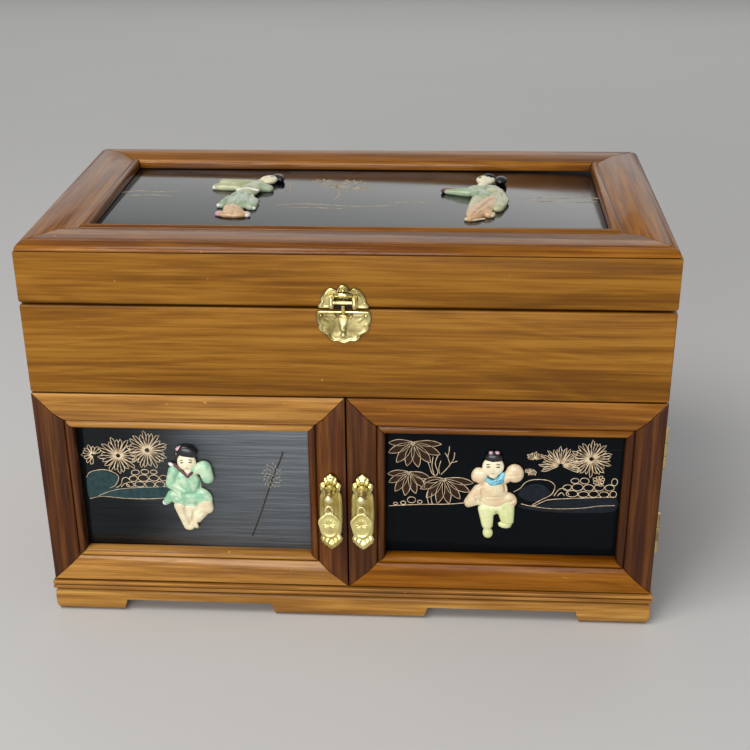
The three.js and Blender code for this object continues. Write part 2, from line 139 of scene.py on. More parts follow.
def wood(name, grain, dark, middle, light, seed=0.0, coat=0.18, roughness=0.38):
    """Stained wood under gloss varnish, with its grain along one axis."""
    s = Shader(name)
    offset = (seed * 1.7, seed * 0.9, seed * 2.3)
    broad = s.noise(along(grain, 20, 2.6), offset, 3.0, 0.4)
    streak = s.noise(along(grain, 210, 5.0), offset, 5.0, 0.5, 0.6)
    figure = s.noise(along(grain, 22, 3.4), offset, 2.0, 1.0)
    rings = s.between(s.math("SINE", s.math("MULTIPLY", figure, 46.0)), -1.0, 1.0)
    fibre = s.noise(along(grain, 900, 26), offset, 3.0, 0.2)
    thread = s.noise(along(grain, 420, 15), offset, 3.0, 0.3)
    tone = s.math("MULTIPLY", streak, 0.52)
    tone = s.math("ADD", tone, s.math("MULTIPLY", broad, 0.50))
    for pattern, share in ((rings, 0.05), (thread, 0.34), (fibre, 0.30)):
        swing = s.math("SUBTRACT", pattern, 0.5)
        tone = s.math("ADD", tone, s.math("MULTIPLY", swing, share))
    colour = s.ramp(s.between(tone, 0.33, 0.72), [(0.0, dark), (0.5, middle), (1.0, light)])
    pores = s.between(s.noise(along(grain, 1500, 60), offset, 2.0), 0.60, 0.72)
    colour = s.blend(s.math("MULTIPLY", pores, 0.40), colour, dark)
    knocks = s.between(s.noise(210, offset, 2.0, 0.8), 0.755, 0.79)
    colour = s.blend(s.math("MULTIPLY", knocks, 0.6), colour, tuple(min(1, c * 1.8 + 0.04) for c in light))
    # Painted shade, with grime in the grooves: darker in corners, grooves and behind other pieces.
    grime_and_shade = s.between(s.hollows(4.5 * MM), 0.30, 0.80, 0.62, 0.0)
    colour = s.blend(grime_and_shade, colour, tuple(c * 0.25 for c in dark))
    waves = s.noise(along(grain, 75, 28), offset, 2.0)
    normal = s.bump(waves, 0.30 * MM, 0.35)
    normal = s.bump(s.math("ADD", pores, knocks), 0.05 * MM, 0.6, normal)
    rough = s.between(streak, 0.2, 0.8, roughness - 0.06, roughness + 0.12)
    return s.finish(Base_Color=colour, Roughness=rough, Normal=normal, Coat_Weight=coat,
                    Coat_Roughness=0.10, Coat_Normal=normal, Specular_IOR_Level=0.08)


def lacquer(name, calm_to, aged_to, sheen=0.0, gloss=0.15):
    """Black lacquer over board. Along X, from one place to another, it ages: brushed ripples and a sheen."""
    s = Shader(name)
    wave = s.noise((26, 300, 520), (0, 0, 0), 2.0, 0.4)
    across = s.node("SeparateXYZ", {"Vector": s.node("TexCoord", {}, "Object")}, "X")
    patch = s.math("MULTIPLY", s.noise((16, 16, 30), (4, 0, 2), 2.0), 0.05)
    facing = s.node("SeparateXYZ", {"Vector": s.node("TexCoord", {}, "Normal")}, "Y")
    facing = s.between(facing, -0.8, -0.2, 1.0, 0.1)
    aged = s.math("MULTIPLY", facing, s.between(s.math("ADD", across, patch), calm_to, aged_to, 0.06, 1.0))
    dust = s.between(s.noise(900), 0.70, 0.80)
    colour = s.blend(s.math("MULTIPLY", dust, 0.25), (0.003, 0.004, 0.005), (0.04, 0.04, 0.04))
    brushed = s.math("MULTIPLY", aged, s.between(wave, 0.25, 0.75, 0.55, 1.0))
    polish = s.between(s.noise(18), 0.3, 0.7, 0.09, 0.15)
    rough = s.math("ADD", polish, s.math("MULTIPLY", aged, 0.5 * sheen))
    density = s.math("ADD", 1.5, s.math("MULTIPLY", brushed, 7.0 * sheen))
    normal = s.bump(s.math("MULTIPLY", wave, aged), 0.30 * MM, 1.0)
    return s.finish(Base_Color=colour, Roughness=rough, Normal=normal, Specular_IOR_Level=gloss, IOR=density,
                    Specular_Tint=(0.88, 0.95, 1.0, 1.0))


def brass(name, bright, dull, roughness=0.26, grain=260.0, depth=0.12 * MM, darkest=0.85):
    """Pressed brass with dull patches, a slightly uneven face, and painted shade with some tarnish in its
    hollows.
    """
    s = Shader(name)
    cloud = s.noise(grain, detail=4.0)
    patch = s.between(s.noise(90, (3, 1, 2), 3.0), 0.42, 0.66)
    colour = s.blend(patch, bright, dull)
    # Painted shade, with some tarnish: darker in hollows and behind other pieces, by up to darkest.
    tarnish_and_shade = s.between(s.hollows(2.5 * MM), 0.25, 0.85, darkest, 0.0)
    colour = s.blend(tarnish_and_shade, colour, tuple(c * 0.16 for c in dull))
    rough = s.between(cloud, 0.3, 0.7, roughness - 0.07, roughness + 0.12)
    normal = s.bump(cloud, depth, 0.5)
    return s.finish(Base_Color=colour, Metallic=1.0, Roughness=rough, Normal=normal)


def stone(name, pale, deep, seed=0.0, gloss=0.6):
    """Painted soapstone: mottled, a little waxy, with a soft shine."""
    s = Shader(name)
    cloud = s.between(s.noise(170, (seed, 0, 0), 3.0, 0.6), 0.36, 0.64)
    fleck = s.between(s.noise(1300, (0, seed, 0), 2.0), 0.62, 0.75)
    colour = s.blend(cloud, pale, deep)
    colour = s.blend(s.math("MULTIPLY", fleck, 0.25), colour, tuple(c * 0.55 for c in deep))
    normal = s.bump(s.noise(420, (seed, 0, 0), 3.0), 0.12 * MM, 0.5)
    return s.finish(Base_Color=colour, Roughness=0.38, Normal=normal, Coat_Weight=gloss,
                    Coat_Roughness=0.15, Subsurface_Weight=0.12, Subsurface_Radius=(0.9 * MM,) * 3)


def velvet(name, pile, shade):
    """Short-piled velvet: uneven pile that catches light at its edges."""
    s = Shader(name)
    brushed = s.between(s.noise(38, (0, 0, 0), 3.0, 1.0), 0.35, 0.65)
    fine = s.noise(2600, detail=2.0)
    colour = s.blend(brushed, pile, shade)
    colour = s.blend(s.between(fine, 0.3, 0.7, 0.0, 0.4), colour, tuple(c * 0.5 for c in shade))
    normal = s.bump(fine, 0.25 * MM, 0.8)
    return s.finish(Base_Color=colour, Roughness=0.95, Normal=normal, Sheen_Weight=0.7,
                    Sheen_Roughness=0.4, Sheen_Tint=(0.9, 0.35, 0.35, 1.0))


def paint(name, colour, darker, roughness=0.45, metallic=0.0):
    """Brushed-on paint that thins and thickens along its stroke."""
    s = Shader(name)
    thin = s.between(s.noise(340, detail=3.0), 0.35, 0.7)
    mixed = s.blend(thin, colour, darker)
    return s.finish(Base_Color=mixed, Roughness=roughness, Metallic=metallic, Specular_IOR_Level=0.2)


def silvering():
    """A mirror, a little hazy."""
    s = Shader("silvered_glass")
    haze = s.between(s.noise(60, detail=3.0), 0.4, 0.7, 0.02, 0.06)
    tint = s.blend(s.between(haze, 0.02, 0.06), (0.86, 0.88, 0.89), (0.78, 0.81, 0.82))
    return s.finish(Base_Color=tint, Metallic=1.0, Roughness=haze)


# Dark, middle and light tones of each kind of board.
BOARD_TONES = ((0.140, 0.050, 0.004), (0.238, 0.093, 0.007), (0.330, 0.145, 0.016))
RAIL_TONES = ((0.130, 0.038, 0.003), (0.255, 0.088, 0.005), (0.380, 0.150, 0.014))
# On the left door's rails these paler tones are painted glare, for light reflected off them; the base board
# uses them too.
PALE_RAIL_TONES = ((0.190, 0.075, 0.014), (0.370, 0.160, 0.026), (0.520, 0.255, 0.055))
DEEP_RAIL_TONES = ((0.105, 0.028, 0.001), (0.200, 0.062, 0.002), (0.305, 0.108, 0.007))
# Stiles get darker tones than the rails: painted shade, for stiles that face away from the light.
STILE_TONES = ((0.034, 0.007, 0.001), (0.076, 0.021, 0.002), (0.140, 0.046, 0.006))
# For the left door's meeting stile only: the stiles' painted shade, lightened by painted glare.
PALE_STILE_TONES = ((0.050, 0.011, 0.001), (0.125, 0.036, 0.003), (0.215, 0.075, 0.012))
PLINTH_TONES = ((0.240, 0.100, 0.018), (0.410, 0.195, 0.038), (0.560, 0.300, 0.075))
INNER_TONES = ((0.22, 0.11, 0.035), (0.38, 0.21, 0.08), (0.52, 0.33, 0.15))

BRASS = brass("pressed_brass", (0.84, 0.71, 0.32), (0.34, 0.27, 0.09), 0.24, depth=0.05 * MM)
# Darker brass for the hinges and the clasp pin; on the clasp's tongue it is painted shade.
DARK_BRASS = brass("hinge_brass", (0.70, 0.52, 0.20), (0.36, 0.26, 0.10), 0.36)
PALE_BRASS = brass("polished_brass", (0.92, 0.82, 0.42), (0.66, 0.56, 0.24), 0.36, depth=0.05 * MM)
PULL_BRASS = brass("pull_brass", (0.95, 0.84, 0.36), (0.74, 0.62, 0.22), 0.32, depth=0.05 * MM, darkest=0.7)
LEVER_BRASS = brass("lever_brass", (0.72, 0.63, 0.32), (0.42, 0.36, 0.16), 0.38, depth=0.05 * MM, darkest=0.3)
DOOR_LACQUER = {
    "left": lacquer("lacquer_left_door", -0.105, -0.030, 0.8, 0.15),
    "right": lacquer("lacquer_right_door", 0.060, 0.200, 0.0, 0.08)}
LID_LACQUER = lacquer("lacquer_lid", 0.300, 0.400, 0.0, 0.5)
VELVET = velvet("red_velvet", (0.22, 0.010, 0.018), (0.12, 0.004, 0.009))
MIRROR = silvering()


# ---------------------------------------------------------------- CAD nodes: edges and materials

def soften(node, width, smooth_limit=40.0):
    """Rounds a CAD piece's sharp edges and smooths its curved faces, without moving a CAD vertex."""
    obj = NODES[node]
    weld = obj.modifiers.new("join_corners", "WELD")
    weld.merge_threshold = 0.002 * MM
    flat = obj.modifiers.new("merge_flat_faces", "DECIMATE")
    flat.decimate_type = "DISSOLVE"
    flat.angle_limit = math.radians(0.4)
    edge = obj.modifiers.new("rounded_edges", "BEVEL")
    edge.width = width
    edge.segments = 3
    edge.limit_method = "ANGLE"
    edge.angle_limit = math.radians(smooth_limit)
    edge.use_clamp_overlap = True
    edge.harden_normals = True
    for face in obj.data.polygons:
        face.use_smooth = True


def dress(node, material):
    obj = NODES[node]
    obj.data.materials.clear()
    obj.data.materials.append(material)


def dress_wood(node, grain, tones, seed, width=0.7 * MM, **finish):
    dress(node, wood("wood_" + node, grain, *tones, seed=seed, **finish))
    soften(node, width)


def dress_boards(node, tones, seed, width, **finish):
    """For a frame of boards in one CAD piece: the grain runs along each board, across X and along Y."""
    dress_wood(node, "X", tones, seed, width, **finish)
    mesh = NODES[node].data
    mesh.materials.append(wood("wood_" + node + "_returns", "Y", *tones, seed=seed + 4.1, **finish))
    for face in mesh.polygons:
        face.material_index = 1 if abs(face.normal.x) > 0.7 else 0


def dress_smooth(node, material, width, smooth_limit=50.0):
    """Material and rounded edges for a piece that isn't wood."""
    dress(node, material)
    soften(node, width, smooth_limit)


def dress_door(door, seed):
    """The left door's rails and meeting stile get paler tones than the right door's: painted glare, for light
    reflected off them. The right door's bottom rail gets darker tones and less coat.
    """
    for piece, axis in (("bottom_rail", "X"), ("top_rail", "X"), ("left_stile", "Z"), ("right_stile", "Z")):
        seed += 3.3
        # The left door's rails and meeting stile get paler tones: painted glare.
        pale = door == "left" and piece != "left_stile"
        deep = door == "right" and piece == "bottom_rail"
        if axis == "X":
            tones = PALE_RAIL_TONES if pale else DEEP_RAIL_TONES if deep else RAIL_TONES
        else:
            tones = PALE_STILE_TONES if pale else STILE_TONES
        dress_wood(f"door_{door}_{piece}", axis, tones, seed, 0.35 * MM, coat=0.15 if deep else 0.4)
    for level in LEVELS:
        seed += 1.7
        dress_boards(f"drawer_{door}_{level}", INNER_TONES, seed, 0.6 * MM, coat=0.4)
        dress_smooth(f"knob_{door}_{level}", BRASS, 0.2 * MM)
        for leaf in ("case_leaf", "door_leaf"):
            dress_smooth(f"hinge_{door}_{level}_{leaf}", DARK_BRASS, 0.15 * MM)
    dress_smooth(f"door_{door}_panel", DOOR_LACQUER[door], 0.3 * MM, 40.0)
    for leaf in ("case_leaf", "lid_leaf"):
        dress_smooth(f"lid_hinge_{door}_{leaf}", DARK_BRASS, 0.15 * MM)
    return seed


def dress_case():
    dress_wood("upper_front", "X", BOARD_TONES, 3.1, 0.9 * MM)
    dress_boards("lid_rim", BOARD_TONES, 7.7, 0.8 * MM)
    dress_boards("plinth", PLINTH_TONES, 5.2, 0.5 * MM)
    dress_boards("base_board", PALE_RAIL_TONES, 6.4, 0.3 * MM)
    dress_wood("side_left", "Y", BOARD_TONES, 1.3, 0.9 * MM)
    dress_wood("side_right", "Y", BOARD_TONES, 2.9, 0.9 * MM)
    dress_wood("back_board", "X", BOARD_TONES, 9.1, 0.6 * MM)
    dress_wood("compartment_floor", "X", INNER_TONES, 4.4, 0.4 * MM, coat=0.2, roughness=0.5)
    dress_wood("drawer_divider", "Y", INNER_TONES, 8.8, 0.4 * MM, coat=0.2, roughness=0.5)
    for side, axis in (("front", "X"), ("right", "Y"), ("rear", "X"), ("left", "Y")):
        dress_wood("lid_moulding_" + side, axis, RAIL_TONES, 11.3 + len(side) * 1.9, 0.35 * MM, coat=0.4)
    seed = 20.0
    for door in DOORS:
        seed = dress_door(door, seed)
    dress_smooth("lid_panel", LID_LACQUER, 0.3 * MM, 40.0)
    dress_smooth("lid_mirror", MIRROR, 1.0 * MM, 40.0)
    for face in NODES["lid_mirror"].data.polygons:
        face.use_smooth = False
    for node in ("lid_lining", "compartment_divider"):
        dress_smooth(node, VELVET, 0.6 * MM, 40.0)


dress_case()


# ---------------------------------------------------------------- shape helpers


def placed(name, mesh, body):
    """An object for the mesh, in the part's frame, riding on a body."""
    obj = bpy.data.objects.new(name, mesh)
    bpy.context.scene.collection.objects.link(obj)
    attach(obj, body)
    return obj


def add_mesh(name, vertices, faces, materials, body, indices=None, smooth=True):
    """A new piece from vertices in metres, with its materials."""
    mesh = bpy.data.meshes.new(name)
    mesh.from_pydata(vertices, [], faces)
    for material in materials:
        mesh.materials.append(material)
    if indices is not None:
        mesh.polygons.foreach_set("material_index", indices)
    mesh.polygons.foreach_set("use_smooth", [smooth] * len(mesh.polygons))
    mesh.validate()
    mesh.update()
    obj = placed(name, mesh, body)
    return obj


def upright_plane(y):
    """Maps (u, v, w) in millimetres to an upright plane at y: u to the right, v up, w towards the viewer."""
    return Matrix(((MM, 0, 0, 0), (0, 0, -MM, y), (0, MM, 0, 0), (0, 0, 0, 1)))


def level_plane(z):
    """Maps (u, v, w) in millimetres to a level plane at z: u to the right, v to the rear, w up."""
    return Matrix(((MM, 0, 0, 0), (0, MM, 0, 0), (0, 0, MM, z), (0, 0, 0, 1)))


def flowing(points, closed=False, steps=5):
    """A smooth line through the points."""
    count = len(points)
    spans = count if closed else count - 1
    result = []
    for i in range(spans):
        if closed:
            near = [points[(i + k) % count] for k in (-1, 0, 1, 2)]
        else:
            near = [points[min(max(i + k, 0), count - 1)] for k in (-1, 0, 1, 2)]
        for step in range(steps):
            t = step / steps
            result.append(tuple(
                0.5 * (2 * b + (c - a) * t + (2 * a - 5 * b + 4 * c - d) * t * t
                       + (3 * b - a - 3 * c + d) * t ** 3)
                for a, b, c, d in zip(*near)))
    if not closed:
        result.append(tuple(points[-1]))
    return result


def mirrored(half, steps):
    """A smooth outline from its right half, whose first or last point is on the middle line."""
    edge = flowing(half, False, steps)
    return edge + [(-u, v) for u, v in reversed(edge) if u > 0.01]


def turn_about(u, v, a, b, angle):
    """The point (a, b) turned by an angle in radians and moved to (u, v)."""
    return u + a * math.cos(angle) - b * math.sin(angle), v + a * math.sin(angle) + b * math.cos(angle)


def around(count):
    """Equal steps of angle round a circle."""
    return [2 * math.pi * i / count for i in range(count)]


def oval(u, v, ru, rv, turn=0.0):
    turn = math.radians(turn)
    return [turn_about(u, v, ru * math.cos(angle), rv * math.sin(angle), turn) for angle in around(20)]


def swept(name, paths, radius, resolution):
    """A mesh of round lines: each path is (points, closed)."""
    curve = bpy.data.curves.new(name, "CURVE")
    curve.dimensions = "3D"
    curve.bevel_depth = radius
    curve.bevel_resolution = resolution
    curve.use_fill_caps = True
    for points, closed in paths:
        spline = curve.splines.new("POLY")
        spline.points.add(len(points) - 1)
        spline.use_cyclic_u = closed
        for point, place in zip(spline.points, points):
            point.co = (*place, 1)
    drawn = bpy.data.objects.new(name, curve)
    mesh = bpy.data.meshes.new_from_object(drawn)
    bpy.data.objects.remove(drawn)
    mesh.materials.clear()
    return mesh


def ink(name, strokes, plane, material, body, width=0.5, rise=0.35):
    """Brush lines that stand a little proud. Each stroke is (points, closed), in millimetres on the plane."""
    paths = [([(u, v, 0) for u, v in points], closed) for points, closed in strokes]
    mesh = swept(name, paths, width / 2, 1)
    mesh.transform(plane @ Matrix.Diagonal((1, 1, rise, 1)))
    mesh.materials.append(material)
    return placed(name, mesh, body)


def wash(name, areas, plane, material, body, thickness=0.06):
    """Thin flat patches of paint inside closed outlines."""
    vertices, faces = [], []
    for outline in areas:
        count = len(outline)
        base = len(vertices)
        for height in (-0.02, thickness):
            vertices += [plane @ Vector((u, v, height)) for u, v in outline]
        faces.append(tuple(range(base + count, base + 2 * count)))
        faces.append(tuple(reversed(range(base, base + count))))
        for i in range(count):
            j = (i + 1) % count
            faces.append((base + i, base + j, base + count + j, base + count + i))
    return facing_out(add_mesh(name, vertices, faces, [material], body, smooth=False), True)


def pressed(name, outline, centre, height, plane, material, body, rings=22):
    """A pressed metal plate: height(s, u, v) is its relief, with s from 0 at the centre to 1 at the edge."""
    count = len(outline)
    cu, cv = centre
    vertices = [plane @ Vector((cu, cv, height(0.0, cu, cv)))]
    for ring in range(1, rings + 1):
        s = (ring / rings) ** 0.85
        for u, v in outline:
            u1, v1 = cu + (u - cu) * s, cv + (v - cv) * s
            vertices.append(plane @ Vector((u1, v1, height(s, u1, v1))))
    vertices += [plane @ Vector((u, v, 0.0)) for u, v in outline]
    faces = [(0, 1 + i, 1 + (i + 1) % count) for i in range(count)]
    for ring in range(rings):
        low = 1 + ring * count
        for i in range(count):
            j = (i + 1) % count
            faces.append((low + i, low + count + i, low + count + j, low + j))
    faces.append(tuple(reversed(range(1 + rings * count, 1 + (rings + 1) * count))))
    return facing_out(add_mesh(name, vertices, faces, [material], body))


def facing_out(obj, in_triangles=False):
    bm = bmesh.new()
    bm.from_mesh(obj.data)
    bmesh.ops.recalc_face_normals(bm, faces=bm.faces)
    if in_triangles:
        bmesh.ops.triangulate(bm, faces=bm.faces)
    bm.to_mesh(obj.data)
    bm.free()
    return obj


def hump(value, centre, width):
    return math.exp(-((value - centre) / width) ** 2)


def through_rings(name, rings, plane, material, body):
    """A closed piece through rings of (u, v, w) points that all have the same number of sides."""
    sides = len(rings[0])
    vertices = [plane @ Vector(point) for ring in rings for point in ring]
    faces = []
    for ring in range(len(rings) - 1):
        for i in range(sides):
            a, b = ring * sides + i, ring * sides + (i + 1) % sides
            faces.append((a, b, b + sides, a + sides))
    faces.append(tuple(reversed(range(sides))))
    faces.append(tuple(range(len(vertices) - sides, len(vertices))))
    return add_mesh(name, vertices, faces, [material], body)


def lofted(name, stations, place, plane, material, body, sides=20):
    """A rounded bar along v: each station is (v, half width, w of its underside, w of its crown)."""
    u0, v0 = place
    rings = [[(u0 + wide * math.cos(angle), v0 + v, (low + high) / 2 + (high - low) / 2 * math.sin(angle))
              for angle in around(sides)] for v, wide, low, high in stations]
    return facing_out(through_rings(name, rings, plane, material, body))


def turned(name, profile, place, plane, material, body, sides=24):
    """A turned piece: profile is (radius, w) from its foot to its head, about w at the place (u, v)."""
    u0, v0 = place
    rings = [[(u0 + radius * math.cos(angle), v0 + radius * math.sin(angle), w) for angle in around(sides)]
             for radius, w in profile]
    return through_rings(name, rings, plane, material, body)


def nails(name, places, seat, plane, body, radius=1.05):
    """Domed nail heads on a plate."""
    for index, (u, v) in enumerate(places):
        dome = [(radius * 1.02, seat - 0.2), (radius * 1.02, seat + 0.1)]
        dome += [(radius * math.cos(a), seat + 0.15 + radius * 0.7 * math.sin(a))
                 for a in (0.15, 0.5, 0.85, 1.2, 1.5)]
        turned(f"{name}_{index}", dome, (u, v), plane, BRASS, body, 16)


LIMB_RISE = 2.6     # millimetres; wide limbs stay flat, as carving in low relief does


BODY_VOXEL = 0.36   # millimetres between the points of a carved surface
FACE_VOXEL = 0.14   # the same, for the small marks of a face


class Carving:
    """A figure carved in coloured stones: each part is a union of balls and limbs, in millimetres on a plane.

    A ball is (u, v, w, its three radii, turn); a limb is two ends, each (u, v, w, radius). A fold is
    (line, width, depth)."""

    def __init__(self, name, plane, body, node):
        self.name, self.plane, self.body, self.node = name, plane, body, node
        self.voxel = BODY_VOXEL
        self.vertices, self.faces, self.indices, self.materials = [], [], [], []

    def part(self, material, shapes, folds=(), smoothing=3):
        bm = bmesh.new()
        for shape in shapes:
            if len(shape) == 2:
                self.add_limb(bm, *shape)
            else:
                self.add_ball(bm, *shape)
        mesh = bpy.data.meshes.new("rough")
        bm.to_mesh(mesh)
        bm.free()
        rough = bpy.data.objects.new("rough", mesh)
        bpy.context.scene.collection.objects.link(rough)
        remesh = rough.modifiers.new("union", "REMESH")
        remesh.mode = "VOXEL"
        remesh.voxel_size = self.voxel
        smooth = rough.modifiers.new("smooth", "SMOOTH")
        smooth.factor = 0.5
        smooth.iterations = smoothing
        graph = bpy.context.evaluated_depsgraph_get()
        done = rough.evaluated_get(graph).to_mesh()
        base = len(self.vertices)
        for vertex in done.vertices:
            u, v, w = vertex.co
            for line, width, depth in folds:
                w -= depth * math.exp(-(distance_to_line(u, v, line) / width) ** 2)
            self.vertices.append(self.plane @ Vector((u, v, max(w, 0.03))))
        self.faces += [tuple(base + i for i in face.vertices) for face in done.polygons]
        self.indices += [len(self.materials)] * len(done.polygons)
        self.materials.append(material)
        bpy.data.objects.remove(rough)

    @staticmethod
    def add_ball(bm, u, v, w, ru, rv, rw, turn=0.0):
        place = Matrix.Translation((u, v, w)) @ Matrix.Rotation(math.radians(turn), 4, "Z")
        size = Matrix.Diagonal((ru, rv, rw, 1))
        bmesh.ops.create_icosphere(bm, subdivisions=3, radius=1.0, matrix=place @ size)

    def add_limb(self, bm, start, end):
        """A limb from (u, v, w, radius) to the same at its other end, a little flattened."""
        length = math.dist(start[:2], end[:2])
        count = max(2, math.ceil(length / (0.4 * min(start[3], end[3]))))
        for i in range(count + 1):
            u, v, w, radius = (a + (b - a) * i / count for a, b in zip(start, end))
            self.add_ball(bm, u, v, w, radius, radius, min(radius * 0.75, LIMB_RISE))

    def finish(self):
        obj = add_mesh(self.name, self.vertices, self.faces, self.materials, self.body, self.indices)
        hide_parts(self.node)


def distance_to_line(u, v, line):
    best = 1e9
    for (u0, v0), (u1, v1) in zip(line, line[1:]):
        du, dv = u1 - u0, v1 - v0
        t = max(0.0, min(1.0, ((u - u0) * du + (v - v0) * dv) / (du * du + dv * dv)))
        best = min(best, math.hypot(u - u0 - t * du, v - v0 - t * dv))
    return best


# ---------------------------------------------------------------- gold painting on the black panels

GOLD = paint("gold_paint", (0.84, 0.66, 0.44), (0.50, 0.34, 0.18), 0.45, 0.1)
FADED_GOLD = paint("faded_gold_paint", (0.50, 0.40, 0.27), (0.24, 0.20, 0.14), 0.4)
STEM_BROWN = paint("stem_brown", (0.050, 0.038, 0.028), (0.022, 0.018, 0.014), 0.5)
BROWN_WASH = paint("brown_wash", (0.032, 0.012, 0.003), (0.016, 0.006, 0.002), 0.5)
TEAL_WASH = paint("teal_wash", (0.024, 0.056, 0.058), (0.014, 0.034, 0.037), 0.5)
BLUE_WASH = paint("blue_wash", (0.007, 0.012, 0.019), (0.003, 0.005, 0.008), 0.5)


def chrysanthemum(u, v, radius, petals=24, start=0.0, sweep=360.0):
    """Narrow pointed petals round a centre, from one angle through a sweep, each with a hooked tip."""
    petals = max(8, round(petals * min(1.0, radius / 9.0)))
    strokes = []
    side = [(0.12, 0.04), (0.42, 0.40), (0.68, 0.80), (0.88, 0.66)]
    for i in range(petals):
        angle = math.radians(start + sweep * (i + 0.5) / petals) + 0.05 * math.sin(i * 5.1)
        reach = radius * (0.90 + 0.10 * math.sin(i * 2.4))
        wide = radius * math.radians(sweep) / petals * 0.37
        loop = [(t * reach, -w * wide) for t, w in side] + [(reach, 0.35 * wide * (-1) ** i)]
        loop += [(t * reach, w * wide) for t, w in reversed(side)]
        strokes.append(([turn_about(u, v, a, b, angle) for a, b in loop], False))
    return strokes


def leaf_outlines(u, v, leaflets):
    """Pointed leaflets hanging from one node: each is (angle, length, half width)."""
    shapes = []
    for degrees, length, wide in leaflets:
        angle = math.radians(degrees)
        side = [(0.0, 0.0), (0.25, 0.62), (0.55, 1.0), (0.82, 0.72), (1.0, 0.12)]
        loop = [(t * length, -w * wide) for t, w in side]
        loop += [(t * length, w * wide) for t, w in reversed(side[1:])]
        shapes.append(flowing([turn_about(u, v, a, b, angle) for a, b in loop], True, 3))
    return shapes


def pebbles(stones):
    return [(oval(*stone), True) for stone in stones]


def paint_left_door(plane):
    """Flowers over teal rocks and pebbles on the left, and a faint pine on the right."""
    body = "door_left"
    teal = [
        (-146.5, 85.5), (-143, 88.4), (-138.8, 89.4), (-133.5, 88.2), (-129, 85), (-130.8, 80.5),
        (-127.5, 78.2), (-118, 79.2), (-109, 79.8), (-101.5, 80), (-99, 76.5), (-101.5, 73), (-112, 72),
        (-126, 71.6), (-139, 72.4), (-145.8, 71.2), (-147.2, 75)]
    wash("teal_rocks_left", [flowing(teal, True, 3)], plane, TEAL_WASH, body)
    strokes = chrysanthemum(-127.6, 98.8, 11.8, 22)
    strokes += chrysanthemum(-111.0, 102.6, 12.2, 24)
    strokes += chrysanthemum(-142.0, 99.0, 6.6, 13, 20, 250)
    rock = [
        (-146.8, 84.5), (-145, 87.6), (-141, 89.2), (-136, 89.7), (-131, 88), (-128.6, 85.4), (-129.6, 82),
        (-131.6, 79.4), (-134.5, 78)]
    hill = [(-130.5, 78.4), (-127.6, 80.6), (-126.4, 84.2), (-123.8, 85), (-121.2, 82), (-119.4, 79.4)]
    inner_hill = [(-127.6, 79), (-125.4, 81.2), (-123.6, 80.6), (-122.6, 79)]
    water = [(-141.2, 72.9), (-135, 75.8), (-127.7, 77.7), (-116, 79), (-108, 79.4), (-99, 80)]
    shore = [(-146.4, 70.9), (-139, 72.6), (-126, 71.7), (-113, 71.6), (-99, 73)]
    strokes += [(flowing(line), False) for line in (rock, hill, inner_hill, water, shore)]
    strokes += pebbles([
        (-122.4, 80.6, 2.2, 1.6), (-117, 80.9, 2.7, 1.7), (-111.2, 81, 2.8, 1.9), (-105.4, 81.2, 2.7, 1.7),
        (-120.2, 84.4, 2.3, 1.8, 12), (-114.6, 84.9, 2.9, 2.1), (-108.6, 85.1, 2.7, 1.9),
        (-103.2, 85.2, 2.2, 1.8), (-118.8, 88.4, 2.3, 1.6, 8), (-113.4, 88.9, 2.2, 1.5),
        (-108.4, 88.9, 1.9, 1.3)])
    ink("gold_lines_left", strokes, plane, GOLD, body, 0.42)
    twig = [(-55, 48.8), (-50, 62), (-45, 77), (-41, 88.8), (-37.5, 97), (-35.3, 103.5)]
    ink("stem_left", [(flowing(twig), False)], plane, STEM_BROWN, body, 0.9, 0.1)
    tufts = []
    for k in range(34):
        angle = math.radians(k * 137.5)
        reach = (k / 34) ** 0.5
        u, v = -42 + 5.0 * math.cos(angle) * reach, 88 + 7.5 * math.sin(angle) * reach
        tufts.append(([(u, v), (u + 1.5 * math.cos(angle + 0.6), v + 1.5 * math.sin(angle + 0.6))], False))
    ink("gold_tufts_left", tufts, plane, FADED_GOLD, body, 0.42)


